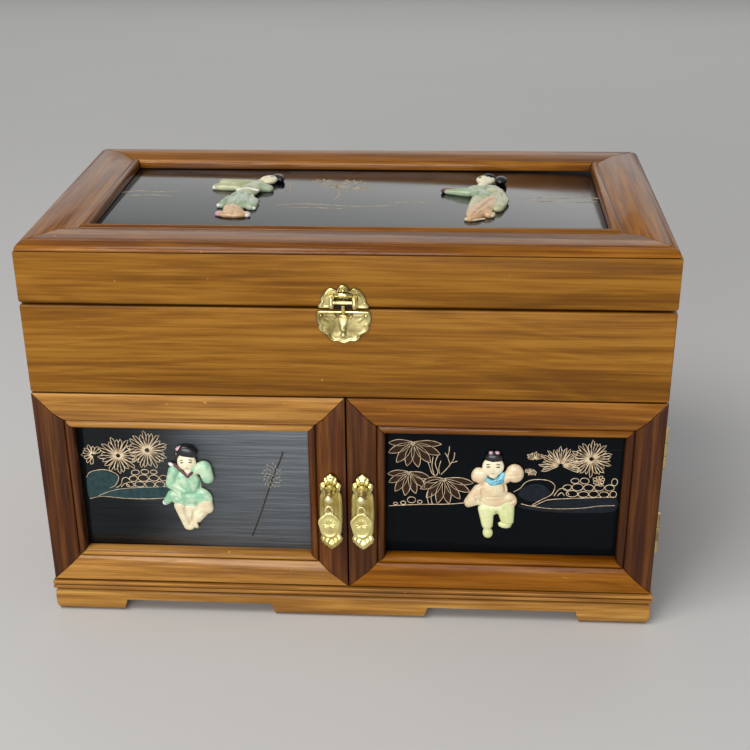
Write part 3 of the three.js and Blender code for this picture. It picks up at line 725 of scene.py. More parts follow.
def paint_right_door(plane):
    """Brown leaves on twigs on the left, and flowers over pebbles and a rock on the right."""
    body = "door_right"
    clusters = [
        (36.0, 110.6, [(182, 13, 1.9), (206, 14.5, 2.3), (234, 15, 2.4), (257, 14.5, 2.3), (281, 15, 2.3),
                       (308, 15, 2.5), (334, 16, 2.4), (357, 15, 1.8)]),
        (33.8, 92.2, [(186, 11.5, 1.8), (211, 12.5, 2.1), (238, 14, 2.2), (262, 14.5, 2.2), (286, 13.5, 2.1),
                      (314, 12.5, 2.0), (344, 11.5, 1.9)]),
        (53.0, 88.5, [(188, 11, 1.8), (207, 14, 2.2), (232, 15, 2.4), (258, 15.5, 2.3), (281, 15.5, 2.3),
                      (306, 15, 2.3), (331, 16, 2.4), (352, 16, 2.1)])]
    leaflets = [shape for u, v, spread in clusters for shape in leaf_outlines(u, v, spread)]
    wash("brown_leaves", leaflets, plane, BROWN_WASH, body)
    rock_fill = [(94, 79.6), (97.5, 84.8), (102, 86.4), (107, 86), (111.4, 81.6), (108.8, 77.6), (101, 75.4)]
    band = [
        (94, 73.2), (103, 71.8), (112, 76.2), (130, 78), (147.4, 78.8), (147.4, 70.4), (132, 69),
        (116, 68.8), (98, 70.6)]
    wash("blue_ground", [flowing(rock_fill, True, 3), flowing(band, True, 2)], plane, BLUE_WASH, body, 0.05)
    strokes = [(shape, True) for shape in leaflets]
    strokes += chrysanthemum(116.3, 98.2, 12.0, 22, -25, 230) + chrysanthemum(132.6, 102.6, 11.6, 26)
    strokes += chrysanthemum(102.3, 101.2, 5.4, 9, 20, 150)
    strokes += chrysanthemum(101.0, 96.0, 4.6, 7, 190, 130)
    strokes += chrysanthemum(137.5, 89.2, 3.6, 12)
    lines = [
        [(49.6, 103), (48.2, 98), (49.6, 93), (49, 90.5)], [(47, 102), (46.4, 97), (47.2, 92.5), (48, 90)],
        [(44, 99.5), (45.4, 95), (46.6, 91.6), (48.4, 90.2)], [(51.2, 99.6), (50.2, 95), (50.6, 91.6)],
        [(44.5, 81), (44, 76.5), (44.8, 72.6)], [(46.6, 79.6), (46.2, 76), (46.8, 72.6)],
        [(51.4, 91.2), (54.2, 94.4), (56.9, 98.4), (58.4, 101.8), (58.6, 105)],
        [(56.4, 97.6), (55, 102), (55.6, 105.4), (55.8, 108.6)], [(55, 102), (53.4, 104.6)],
        [(57, 98.6), (60.2, 99.6)], [(22.6, 70.6), (34, 71.6), (45.4, 72.2), (56, 72.6), (66, 73.8)],
        [(91.4, 81.2), (95, 83.6), (97.4, 87), (101, 88.9), (106.4, 89.3), (111, 88.4), (113.8, 85.6),
         (113.2, 82), (111.4, 79.4), (106.4, 76.4), (102, 73.2)],
        [(113.6, 79.2), (116.2, 83.4), (119.4, 83.8), (121.8, 80.2)],
        [(115.4, 79.2), (117.6, 81.4), (119.4, 79.4)],
        [(95.8, 73.8), (102.2, 72.5), (107, 75), (112, 76.9), (128, 78.2), (147.4, 79.4)],
        [(102.4, 72.4), (110, 71.3), (118.7, 71.2), (130, 72), (138, 73.4), (147.2, 74)]]
    strokes += [(flowing(line), False) for line in lines]
    strokes += pebbles([
        (35.3, 74.8, 2.3, 1.9), (30.7, 72.8, 1.4, 1.1), (39.9, 73.6, 1.3, 1), (26.4, 72.2, 1.1, 0.8),
        (123.4, 80.9, 3.2, 2), (129.6, 80.6, 2.8, 1.8), (135.2, 80.9, 2.6, 2), (140.8, 80.7, 2.6, 1.8),
        (145.8, 81, 1.8, 2), (120.6, 84.7, 2.4, 1.7, 10), (126.2, 85, 3, 2.2), (132.2, 84.8, 2.7, 2),
        (138, 85.1, 2.7, 2.1), (143.6, 85, 2.5, 1.9), (124.6, 88.9, 2.2, 1.6), (129.8, 89, 2.4, 1.8, -8),
        (146, 88.6, 1.6, 2.2)])
    ink("gold_lines_right", strokes, plane, GOLD, body, 0.42)


def paint_lid(plane):
    """Faint flowers and ground lines, broader than those on the doors."""
    body = "lid"
    strokes = []
    for u, v, size in ((-14, 34, 9), (-4, 42, 8), (-22, 44, 7), (2, 30, 6)):
        for k in range(7):
            angle = math.radians(-20 + k * 36)
            strokes.append(([(u, v), (u + size * math.cos(angle), v + size * 0.7 * math.sin(angle))], False))
    lines = [
        [(-12, 6), (-10, 20), (-13, 34), (-8, 48)], [(-10, 22), (-4, 30), (-2, 42)],
        [(-12, 30), (-20, 38), (-23, 46)], [(-44, -4), (-30, -1), (-14, -3), (2, -5), (20, -3)],
        [(-38, -9), (-22, -8), (-6, -10)], [(22, 2), (34, 4), (44, 2)],
        [(92, 12), (102, 15), (114, 13), (126, 16), (138, 14)], [(96, 6), (110, 8), (124, 6), (136, 8)],
        [(-138, 18), (-128, 22), (-116, 20), (-104, 23)], [(-134, 12), (-120, 14), (-106, 12)],
        [(-46, 20), (-40, 28), (-41, 40)]]
    strokes += [(flowing(line), False) for line in lines]
    ink("faint_gold_lines_lid", strokes, plane, FADED_GOLD, body, 1.1, 0.2)


door_panel = {door: upright_plane(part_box(f"door_{door}_panel")[0][1]) for door in DOORS}
lid_panel = level_plane(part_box("lid_panel")[1][2])
paint_left_door(door_panel["left"])
paint_right_door(door_panel["right"])
paint_lid(lid_panel)


# ---------------------------------------------------------------- carved figures

MINT = stone("mint_stone", (0.56, 0.72, 0.48), (0.27, 0.53, 0.33), 1.0)
OLIVE = stone("olive_stone", (0.54, 0.53, 0.30), (0.40, 0.42, 0.22), 2.0)
SAGE = stone("sage_stone", (0.43, 0.50, 0.33), (0.31, 0.40, 0.25), 3.0)
PEACH = stone("peach_stone", (0.80, 0.67, 0.42), (0.74, 0.54, 0.33), 4.0)
AMBER = stone("amber_stone", (0.74, 0.50, 0.27), (0.62, 0.36, 0.18), 5.0)
CREAM = stone("cream_stone", (0.84, 0.78, 0.54), (0.76, 0.62, 0.40), 6.0)
LIME = stone("lime_stone", (0.78, 0.78, 0.42), (0.66, 0.70, 0.30), 7.0)
FACE = stone("face_stone", (0.90, 0.84, 0.60), (0.86, 0.76, 0.50), 8.0, 0.4)
JET = stone("jet_stone", (0.008, 0.007, 0.008), (0.004, 0.003, 0.004), 9.0, 0.35)
ROSE = stone("rose_paint", (0.80, 0.50, 0.54), (0.70, 0.36, 0.44), 10.0)
WHITE = stone("white_paint", (0.86, 0.84, 0.80), (0.78, 0.74, 0.70), 11.0)
OXBLOOD = stone("oxblood_paint", (0.16, 0.010, 0.008), (0.07, 0.006, 0.006), 12.0)
SKY = stone("sky_paint", (0.22, 0.58, 0.66), (0.05, 0.30, 0.42), 13.0)
RUSSET = stone("russet_paint", (0.34, 0.15, 0.11), (0.20, 0.05, 0.04), 16.0)
INK = stone("ink_paint", (0.06, 0.045, 0.03), (0.03, 0.02, 0.015), 14.0, 0.2)
LIP = stone("lip_paint", (0.62, 0.20, 0.14), (0.50, 0.14, 0.10), 15.0, 0.2)


def face_marks(figure, u, v, top, width, tilt):
    """Small closed eyes, brows, a nose and a mouth on a calm doll's face, whose front is at w = top."""
    def place(a, b):
        return turn_about(u, v, a * width, b * width, math.radians(tilt))

    eyes, brows = [], []
    for side in (-1, 1):
        eu, ev = place(side * 0.42, 0.18)
        eyes.append((eu, ev, top - 0.42, width * 0.23, 0.36, 0.5, tilt - side * 8))
        bu, bv = place(side * 0.44, 0.44)
        brows.append((bu, bv, top - 0.62, width * 0.25, 0.22, 0.5, tilt - side * 14))
    figure.voxel = FACE_VOXEL
    figure.part(INK, eyes + brows, smoothing=1)
    mu, mv = place(0.0, -0.52)
    figure.part(LIP, [(mu, mv, top - 0.62, width * 0.17, 0.34, 0.5, tilt)], smoothing=1)
    nu, nv = place(0.0, -0.14)
    figure.part(FACE, [(nu, nv, top - 0.35, width * 0.11, width * 0.22, 0.55, tilt)], smoothing=1)


CHILD_LEFT = [
    (CREAM, [
        ((-94.5, 68.5, 1, 3.8), (-91.8, 56.5, 1, 2.3)),
        ((-80.5, 70.5, 1.2, 4.6), (-79.4, 67.6, 1.2, 3.8)),
        ((-79.8, 68.6, 1.2, 3.8), (-87.2, 57.6, 1, 2.3)), (-90.6, 54.6, 1, 3, 1.9, 1.8, -8),
        (-86.4, 56.2, 1.2, 1.6, 2.3, 1.8, 24), ((-88.4, 67, 0.6, 4.6), (-89.2, 60, 0.6, 2.6))], [
        ([(-92, 67), (-89.4, 58)], 0.9, 0.9), ([(-86.6, 66), (-88.4, 59)], 0.8, 0.8),
        ([(-82, 66), (-86, 61)], 0.6, 0.3)]),
    (JET, [(-84.6, 57.4, 2.4, 0.7, 1.9, 0.9, 20)]),
    (WHITE, [(-103, 70.2, 0.9, 1.8, 1.7, 1.1)]),
    (MINT, [
        (-90.6, 82.4, 1.4, 8.8, 9.4, 3), (-90.4, 74.2, 1.2, 9.8, 6.6, 2.6),
        (-82.8, 74.4, 1.2, 7.2, 5.8, 2.5, -28), ((-96.6, 90.6, 1.4, 3.4), (-98.6, 83, 1.6, 3.3)),
        ((-98.4, 82.6, 1.8, 3.2), (-91.4, 78.4, 2.4, 2.5)),
        ((-84.6, 92, 1.6, 3.4), (-79.6, 94, 1.8, 3.6)),
        ((-79.4, 93.2, 1.9, 4.2), (-77.8, 87.2, 1.9, 3.6)),
        ((-98.4, 75.4, 0.9, 3.2), (-102.2, 70.8, 0.8, 2))], [
        ([(-97, 80.6), (-92, 77), (-86, 77.6), (-83, 81)], 0.8, 0.9),
        ([(-83.2, 88.6), (-81.8, 84.6), (-82.4, 81)], 0.8, 1.4),
        ([(-95.4, 88), (-94.8, 83), (-91, 80.4)], 0.7, 0.7), ([(-88.8, 86.4), (-86.6, 80)], 0.7, 0.5),
        ([(-96, 74.6), (-90.6, 70.8), (-84, 70.4)], 0.7, 0.5), ([(-92, 76.6), (-91, 69)], 0.8, 0.5),
        ([(-81.2, 95.4), (-79.6, 89.8), (-78, 86)], 0.6, 0.4)]),
    (JET, [(-88.4, 103, 1.9, 5.7, 4, 2.6, -14), (-94.3, 100, 1.3, 1.5, 3.2, 1.5, 10)]),
    (FACE, [(-88.9, 97, 2.2, 5.4, 5.6, 2.6), (-88.3, 91.6, 2, 2.5, 2.4, 2)]),
    (OXBLOOD, [
        ((-95.6, 95.2, 2.2, 1), (-88.7, 88.4, 3.8, 0.95)),
        ((-88.7, 88.4, 3.8, 0.95), (-84.2, 92.8, 3.3, 0.85))]),
    (WHITE, [(-97.8, 94.8, 1.6, 1.9, 1.1, 1.1, -28), (-88.5, 90.6, 3.5, 0.7, 1.6, 0.6)]),
    (ROSE, [(-92.4, 105, 1.7, 2.5, 1.5, 1.5, 22), (-89.4, 105.9, 1.5, 1.5, 0.9, 1.2, -14)]),
]

CHILD_RIGHT = [
    (LIME, [
        ((76.6, 71, 1.1, 4.6), (77.6, 60.6, 1.1, 3.2)), ((87, 73.4, 1.2, 5.4), (88.6, 63.8, 1.2, 3.7)),
        (82, 71.4, 1.2, 8.4, 4.2, 2.6), (78, 55.6, 1, 2.9, 3.6, 1.9, 8),
        (87.2, 60.8, 1.1, 3.9, 2, 1.8, -8)], [
        ([(82.6, 70), (82.8, 61)], 0.8, 1.5), ([(75, 68), (76.6, 60)], 0.6, 0.4),
        ([(86.4, 72), (87.2, 63)], 0.7, 0.4), ([(75, 59.2), (80.6, 58.8)], 0.6, 0.5),
        ([(84.6, 62.8), (91.4, 62.2)], 0.6, 0.4)]),
    (PEACH, [
        (80.2, 82.6, 1.5, 8, 8.6, 3.2), (81, 76.4, 1.3, 10.2, 5.2, 2.8),
        (88.2, 76.8, 1.2, 5.6, 4.8, 2.4, -30), (73.4, 92, 1.6, 3.9, 5, 2.7, -24),
        (71.3, 92.4, 1.6, 3.4, 4.6, 2.6, -14), ((86, 90, 1.6, 3), (90, 93.6, 1.7, 3.6)),
        (91.6, 93.8, 1.7, 5, 5.7, 2.6, 10), ((73.4, 82, 1.3, 4.8), (67.2, 75, 0.8, 2.9)),
        ((72, 76.6, 1, 3.2), (66.8, 73.6, 0.7, 2.2))], [
        ([(71.4, 77.4), (76.6, 73.4), (82, 72.2), (91, 77.2)], 0.7, 1),
        ([(74.2, 84), (74.4, 76)], 0.8, 0.8), ([(86.2, 87.4), (86.8, 83.4)], 0.8, 1.1),
        ([(75.6, 89.6), (73.8, 86.6)], 0.7, 0.8), ([(88, 93), (94, 93.6)], 0.6, 0.35),
        ([(77, 79.8), (85.6, 80.2)], 0.6, 0.4), ([(70.4, 80), (71.8, 75)], 0.6, 0.5)]),
    (JET, [(79.9, 103.2, 1.9, 5, 3.6, 2.5), (79.3, 101.6, 3, 1.1, 1.9, 1.3, -20)]),
    (FACE, [(79.7, 98, 2.2, 6, 6, 2.6), (79.8, 92.8, 2, 2.9, 2.4, 2)]),
    (SKY, [
        ((75.8, 91, 3, 1.2), (79.2, 88.6, 3.9, 1.7)), ((79.2, 88.6, 3.9, 1.7), (83.6, 90, 3.6, 2.2)),
        ((83.6, 90, 3.6, 2.2), (85.2, 93.6, 2.9, 1.4))], [
        ([(76, 91), (79.6, 89), (84, 90.6)], 0.4, 0.5), ([(78, 87.6), (83, 88.4), (85.6, 92)], 0.4, 0.35)]),
    (JET, [((76.6, 92.4, 3.2, 0.4), (80.2, 90.6, 4.3, 0.45))], [], 1),
    (ROSE, [(78.5, 105.9, 1.7, 1.6, 1.2, 1.5, -8), (81.5, 106, 1.7, 1.6, 1.2, 1.5, 8)]),
    (WHITE, [(79.2, 104.6, 2.6, 1, 0.8, 0.9)]),
]

LADY_LEFT = [
    (AMBER, [
        (-65, -24.8, 1.2, 9.4, 4.4, 2.2), ((-67.6, -15, 1.2, 5), (-65.6, -21, 1.2, 6.2))], [
        ([(-69, -14), (-70, -27)], 0.9, 0.6), ([(-65, -14), (-64.6, -28)], 0.9, 0.5),
        ([(-61, -15), (-59, -26)], 0.9, 0.6), ([(-74, -20.4), (-57, -20.8)], 0.7, 0.6)]),
    (ROSE, [(-73.2, -23.8, 1, 2.6, 2.8, 1.5)]),
    (WHITE, [(-57.4, -26.2, 1, 1.9, 1.9, 1.3)]),
    (SAGE, [
        ((-65, 8, 1.5, 7), (-63.4, -6, 1.5, 8.6)), ((-70, 1, 1.3, 4.6), (-74.4, -8.6, 1, 2.4)),
        ((-60, -2, 1.3, 6), (-57.4, -11.4, 1, 3.2)), ((-57, 24.6, 1.8, 5), (-51.8, 23.6, 1.3, 2.8))], [
        ([(-69, 6), (-72, -6)], 0.9, 0.9), ([(-64.6, 7), (-65.6, -10)], 0.9, 0.5),
        ([(-60.4, 6), (-58.4, -9)], 0.9, 0.9), ([(-60.4, 27), (-52, 25.2)], 0.6, 0.5)]),
    (OLIVE, [
        ((-63.6, 14, 1.7, 6.6), (-60, 29, 1.7, 6.6)), ((-63, 30, 1.7, 6), (-79.6, 34, 1.3, 3.6)),
        ((-69, 27, 1.5, 5.4), (-82.6, 26.8, 1.1, 2.8))], [
        ([(-84, 31), (-72, 31), (-60, 33)], 0.8, 0.9),
        ([(-82, 26.4), (-70, 25.6), (-63, 28.6)], 0.8, 0.6), ([(-70, 17), (-62, 18.6)], 0.8, 0.6),
        ([(-66, 36), (-76, 36.6)], 0.7, 0.5)]),
    # White paint: a belt at the waist, and small balls at the skirt's and a sleeve's tips that are painted
    # highlights on the glossy stone.
    (WHITE, [
        ((-68.6, 13.4, 3.6, 0.8), (-63, 15, 4.2, 0.8)), ((-63, 15, 4.2, 0.8), (-56.4, 12.4, 3.6, 0.8)),
        (-76, -9.6, 1.3, 1.2, 1.9, 1.2, 20), (-55.4, -13.4, 1, 1.2, 1.3, 1.1),
        (-84, 26, 1.2, 1.4, 2.2, 1.3)]),
    (FACE, [(-53.8, 38.4, 2.2, 5.2, 6.6, 2.4, -20), ((-59, 33.4, 1.7, 2.6), (-56, 35.4, 1.8, 2.8))]),
    (JET, [(-49.4, 44, 1.9, 4, 5.2, 2.4, -20), (-47, 42.2, 1.8, 2.2, 3.4, 2.2)]),
]

LADY_RIGHT = [
    (OLIVE, [
        ((78.4, 19, 1.7, 6), (80.6, 4, 1.7, 6.4)), ((80.4, 2, 1.6, 6.2), (79, -10, 1.3, 4.6)),
        ((69.4, 4, 1.4, 4.4), (66.2, -9, 1.2, 3)), ((66.4, -9, 1.2, 3), (64.4, -19, 0.9, 2.4))], [
        ([(76, 14), (79.6, 4), (78, -10)], 0.9, 0.9), ([(83, 10), (84, -5)], 0.8, 0.5),
        ([(70, 10), (80, 13)], 0.8, 0.6)]),
    (SAGE, [
        ((68.4, 22, 1.8, 5.6), (77, 23, 1.8, 5.4)), ((70.4, 15, 1.8, 6), (73, 9, 1.7, 5.4)),
        ((65.2, 18, 1.6, 4.2), (51.8, 20.6, 1.2, 1.8))], [
        ([(66.6, 23), (70.6, 14), (69, 8)], 0.8, 0.8), ([(74, 22), (80.6, 15)], 0.8, 0.7),
        ([(63, 17.6), (54, 19.6)], 0.6, 0.4)]),
    (RUSSET, [((62.4, 22.8, 1.8, 1.4), (50.2, 23.6, 1.5, 1.4))]),
    (OXBLOOD, [(49.6, 22.4, 1.2, 1.5, 2, 1.3)]),
    (AMBER, [
        ((76.2, 1, 1.8, 4.6), (71, -12, 1.7, 7)), ((71, -13, 1.6, 7), (67, -24, 1.2, 5)),
        ((71, -18, 1.3, 4.8), (74.8, -22, 1, 3)), ((68, -25, 1.1, 3.6), (64.6, -29.4, 0.9, 2.4))], [
        ([(76.6, -2), (70.6, -17), (65.6, -29)], 0.9, 0.8), ([(71, -2), (66.4, -15)], 0.9, 0.6),
        ([(76, -16), (69, -25)], 0.8, 0.7)]),
    (CREAM, [
        (63.2, -29.6, 0.9, 1.9, 1.6, 1.2), (77, -22, 1, 1.4, 3, 1.4, -14),
        ((66.4, -31, 0.7, 0.7), (72.4, -27.6, 0.7, 0.7))]),
    (FACE, [(73.6, 40.4, 2.2, 4.9, 7.2, 2.4, 14), ((72, 31.4, 1.7, 3), (73.4, 34, 1.8, 3))]),
    (CREAM, [(77.8, 41, 2, 2, 3.4, 1.8)]),
    (JET, [(75.6, 47.6, 2, 4.4, 3, 2.4, 10), (83, 42, 2, 3.8, 5, 2.5, -8)]),
]

# Each figure: its CAD piece, its body, its carved parts, and its face as (u, v, top, width, tilt).
FIGURES = [
    ("child_left", "door_left", CHILD_LEFT, (-88.7, 96.8, 4.8, 5.2, 4)),
    ("child_right", "door_right", CHILD_RIGHT, (79.6, 97.8, 4.8, 5.8, 0)),
    ("lady_left", "lid", LADY_LEFT, (-54.2, 38.2, 4.6, 4.8, -24)),
    ("lady_right", "lid", LADY_RIGHT, (73.2, 39.8, 4.6, 4.6, 16)),
]


def carve(piece, body, parts, face):
    plane = lid_panel if body == "lid" else door_panel[body.removeprefix("door_")]
    figure = Carving("carved_" + piece, plane, body, piece)
    for part in parts:
        figure.part(*part)
    face_marks(figure, *face)
    figure.finish()


for figure_row in FIGURES:
    carve(*figure_row)


# ---------------------------------------------------------------- brass clasp and pulls

# Near-black paint for painted shadow.
SLOT_SHADOW = paint("shadowed_metal", (0.016, 0.012, 0.006), (0.008, 0.006, 0.004), 0.6)


def make_clasp():
    """The keeper with its bar and ears on the lid, the scalloped plate and pin on the case, and the lever."""
    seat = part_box("latch_plate")[1][1]
    keeper_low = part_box("latch_keeper")[0][2]
    case_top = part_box("upper_front")[1][2]
    upper = upright_plane(seat) @ Matrix.Translation((0, keeper_low / MM, 0))
    lower = upright_plane(seat) @ Matrix.Translation((0, case_top / MM, 0))

    keeper_half = [
        (12.7, 0), (13, 1.4), (11.7, 3.4), (11.4, 5.6), (9.8, 8.2), (7.8, 10.3), (5.8, 10.9), (4, 10.1),
        (3.1, 9.5), (2.8, 10.8), (1.7, 12.1), (0, 12.6)]

    def keeper_relief(s, u, v):
        rim = 0.55 * hump(s, 0.9, 0.055)
        leaves = 0.22 * math.cos(1.1 * abs(u) - 0.6 * v) * hump(s, 0.62, 0.22)
        return 0.55 + rim + leaves

    keeper = pressed("clasp_keeper", mirrored(keeper_half, 4), (0, 4.4), keeper_relief, upper, BRASS, "lid")
    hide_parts("latch_keeper")
    nails("clasp_keeper_nail", [(-10.6, 3.5), (0.0, 9.6), (11.0, 2.6)], 0.6, upper, "lid", 0.85)
    for side, word in ((-1, "left"), (1, "right")):
        ear = [(7.4, 0.5, 0.4, 1.0), (6.9, 1.1, 0.3, 2.2), (5.8, 1.35, 0.3, 3.8), (4.2, 1.4, 0.3, 5.2),
               (2.6, 1.35, 0.3, 5.4), (1.3, 1.2, 0.3, 4.6), (0.4, 0.9, 0.3, 3.2), (0.1, 0.5, 0.4, 2.0)]
        lofted(f"clasp_ear_{word}", ear, (side * 5.9, 0), upper, PALE_BRASS, "lid")
    upright_bar = upper @ Matrix.Rotation(math.radians(-90), 4, "Z")
    rolled = [
        (-4.9, 0.9, 0.3, 1.3), (-4.7, 1.5, 0.3, 1.9), (0, 1.6, 0.3, 2), (4.7, 1.5, 0.3, 1.9),
        (4.9, 0.9, 0.3, 1.3)]
    lofted("clasp_rolled_strip", rolled, (-6.9, 0), upright_bar, BRASS, "lid")
    bar = [
        (-5.4, 0.8, 3.5, 5.1), (-4.6, 1, 3.3, 5.3), (-4, 0.9, 3.4, 5.2), (0, 1.05, 3.3, 5.3),
        (4, 0.9, 3.4, 5.2), (4.6, 1, 3.3, 5.3), (5.4, 0.8, 3.5, 5.1)]
    lofted("clasp_bar", bar, (-4.4, 0), upright_bar, PALE_BRASS, "lid")
    # A near-black sheet between the ears: painted shadow, for the shaded slot where the catch enters.
    slot = [(-4.8, 0.1), (4.8, 0.1), (4.8, 4.6), (-4.8, 4.6)]
    wash("clasp_catch_shadow", [slot], upper @ Matrix.Translation((0, 0, 1.15)), SLOT_SHADOW, "lid")

    plate_half = [
        (0, -18.9), (1.8, -18.3), (3.4, -17.4), (5.2, -17.7), (7, -17.1), (8.3, -15.6), (8.8, -14.1),
        (10.6, -13.1), (12.4, -11.7), (13.2, -9.8), (12.9, -8.2), (13.9, -6.6), (14.2, -4.4), (13.9, -2.2),
        (13.5, -0.5)]
    nail_u, nail_v = 11.6, -3.2

    def plate_relief(s, u, v):
        rim = 0.60 * hump(s, 0.91, 0.06)
        to_nail = math.hypot(abs(u) - nail_u, v - nail_v)
        rays = 0.12 * math.cos(9 * math.atan2(v - nail_v, nail_u - abs(u))) * hump(to_nail, 3.6, 1.6)
        drape = 0.30 * math.cos(0.62 * abs(u) + 0.5 * v) * hump(s, 0.6, 0.25) * hump(v, -12, 5)
        swell = 0.75 * hump(u, 0, 4.6 + 0.35 * v) * hump(v, -5.2, 2.6)
        return 0.45 + max(rim, 0.0) + rays + drape + swell

    plate = pressed("clasp_plate", mirrored(plate_half, 4), (0, -8.4), plate_relief, lower, BRASS, "case", 26)
    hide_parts("latch_plate")
    nails("clasp_plate_nail", [(-nail_u, nail_v), (nail_u, nail_v)], 0.6, lower, "case", 1.05)
    pivot_bar = lower @ Matrix.Rotation(math.radians(-90), 4, "Z")
    pin = [(-4.8, 0.5, 2.2, 3.2), (-4.6, 1.1, 1.5, 3.8), (-3.7, 1.1, 1.5, 3.8), (-3.5, 0.5, 2.2, 3.2),
           (3.5, 0.5, 2.2, 3.2), (3.7, 1.1, 1.5, 3.8), (4.6, 1.1, 1.5, 3.8), (4.8, 0.5, 2.2, 3.2)]
    lofted("clasp_pin", pin, (3.0, 0), pivot_bar, DARK_BRASS, "case")

    nose = [(-14.2, 0.4, 2.8, 3.6), (-13.9, 1.2, 2.2, 4.4), (-12.7, 1.8, 1.8, 5.0), (-11.6, 1.3, 2.2, 4.5),
            (-11.2, 1.0, 2.3, 4.2), (-10.8, 1.4, 2.0, 4.8), (-9.4, 2.1, 1.7, 5.6), (-8.4, 1.7, 2.0, 5.0),
            (-7.8, 1.5, 2.0, 3.9), (-6.8, 2.0, 2.0, 3.4), (-5.4, 2.5, 1.9, 3.1), (-3.8, 2.5, 1.9, 2.95),
            (-2.5, 2.1, 1.9, 2.85), (-1.9, 1.2, 1.9, 2.4)]
    lever = lofted("clasp_lever", nose, (0, 0), lower, LEVER_BRASS, "latch", 28)
    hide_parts("latch_lever")
    # The tongue is in the darker brass: painted shade, for the tongue lying shaded under the lever.
    tongue = [(-2.6, 0.8, 1.9, 2.5), (0.0, 0.9, 1.8, 2.4), (2.6, 0.9, 2.2, 2.9), (3.2, 0.8, 2.4, 3.0)]
    lofted("clasp_tongue", tongue, (0, 0), lower, DARK_BRASS, "latch")


def make_pull(word):
    """A door's plate and post, and the drop that hangs from the post's lug by its eye."""
    body = f"door_{word}"
    low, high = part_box(f"pull_plate_{word}")
    centre = ((low[0] + high[0]) / 2, (low[2] + high[2]) / 2)
    plane = upright_plane(high[1]) @ Matrix.Translation((centre[0] / MM, centre[1] / MM, 0))
    plate_half = [
        (0, -23.6), (1.5, -22.6), (2.9, -21.4), (4, -20.4), (5.3, -19), (6.2, -17), (5.9, -15.4),
        (4.9, -14.4), (5.7, -12.2), (6.1, -7), (6.3, -1), (6.2, 5), (5.8, 10.4), (4.8, 13.4), (5.3, 15.2),
        (5.9, 16.8), (5.4, 18.2), (4.3, 18.9), (3.5, 20.2), (3.2, 21.8), (1.9, 22.8), (0, 24.2)]

    def relief(s, u, v):
        rim = 1.0 * hump(s, 0.87, 0.07)
        leafy = 0.40 * math.cos(2.2 * abs(u) - 1.3 * abs(v)) * hump(abs(v), 18.5, 3.6)
        trough = -0.30 * hump(s, 0.55, 0.2) * hump(v, 0, 11)
        return 0.70 + rim + leafy + trough + 0.5 * hump(v, 18.6, 2.2) * hump(u, 0, 2.6)

    edge = mirrored(plate_half, 3)
    plate = pressed(f"pull_plate_relief_{word}", edge, (0, 0), relief, plane, PULL_BRASS, body, 24)
    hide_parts(f"pull_plate_{word}")
    nails(f"pull_nail_{word}", [(0, 21.6), (0, -21.4)], 0.9, plane, body, 0.8)

    drop_low, drop_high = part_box(f"pull_drop_{word}")
    pivot = (centre[0], (drop_low[1] + drop_high[1]) / 2, drop_high[2] - 0.6 * MM)
    reach = (high[1] - pivot[1]) / MM
    post_v = (pivot[2] - centre[1]) / MM + 3.7
    post = [(3.1, 0.6), (3.1, 1.6), (2.5, 2.2), (2.1, 3.0), (2.1, 4.4), (2.6, 4.9), (2.6, 5.6), (2.1, 6.1),
            (1.8, 8.0), (1.8, reach - 2.6), (2.2, reach - 2.0), (2.45, reach - 1.4), (2.45, reach + 0.9),
            (2.2, reach + 1.5), (1.7, reach + 1.6), (1.5, reach + 1.9), (0.4, reach + 1.9)]
    turned(f"pull_post_{word}", post, (0, post_v), plane, PALE_BRASS, body, 28)
    neck = [(-4.5, 0.4, reach - 0.5, reach + 0.5), (-3.9, 0.45, reach - 0.7, reach + 0.7),
            (-2.8, 0.5, reach - 0.7, reach + 0.7), (-1.8, 0.7, reach - 0.9, reach + 0.9)]
    lofted(f"pull_lug_{word}", neck, (0, post_v), plane, BRASS, body, 16)

    hanging = upright_plane(pivot[1] + 0.8 * MM) @ Matrix.Translation((pivot[0] / MM, pivot[2] / MM, 0))
    drop_half = [
        (0, -20.8), (2, -20.4), (3.6, -19.2), (4.6, -17.4), (5.2, -15), (5.9, -12.2), (6.1, -10.2),
        (5.2, -8.4), (3.9, -6.9), (2.7, -5.7), (2, -4.9), (0, -4.8)]
    middle_v = -12.4

    def blossom(s, u, v):
        r = math.hypot(u, v - middle_v)
        angle = math.atan2(u, v - middle_v)
        grooves = -0.42 * (0.5 + 0.5 * math.cos(10 * angle)) ** 3 * hump(r, 1.9, 1.1)
        return 1.0 + 0.35 * hump(s, 0.86, 0.09) + 0.30 * hump(r, 2.2, 1.5) + grooves

    disc = pressed(f"pull_drop_relief_{word}", mirrored(drop_half, 3), (0, middle_v), blossom, hanging,
                   PULL_BRASS, f"pull_{word}", 30)
    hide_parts(f"pull_drop_{word}")
    eye = [
        (-1.6, -4.9), (-2, -3.6), (-1.7, -2), (-0.9, -1), (0, -0.7), (0.9, -1), (1.7, -2), (2, -3.6),
        (1.6, -4.9), (0, -5.2)]
    points = [hanging @ Vector((u, v, 0.8)) for u, v in flowing(eye, True, 3)]
    mesh = swept(f"pull_eye_{word}", [(points, True)], 0.7 * MM, 2)
    mesh.materials.append(PALE_BRASS)
    placed(f"pull_eye_{word}", mesh, f"pull_{word}")


make_clasp()
for door in DOORS:
    make_pull(door)


# ---------------------------------------------------------------- velvet inside

END_ROUNDING = 3.0      # millimetres at each end of a roll


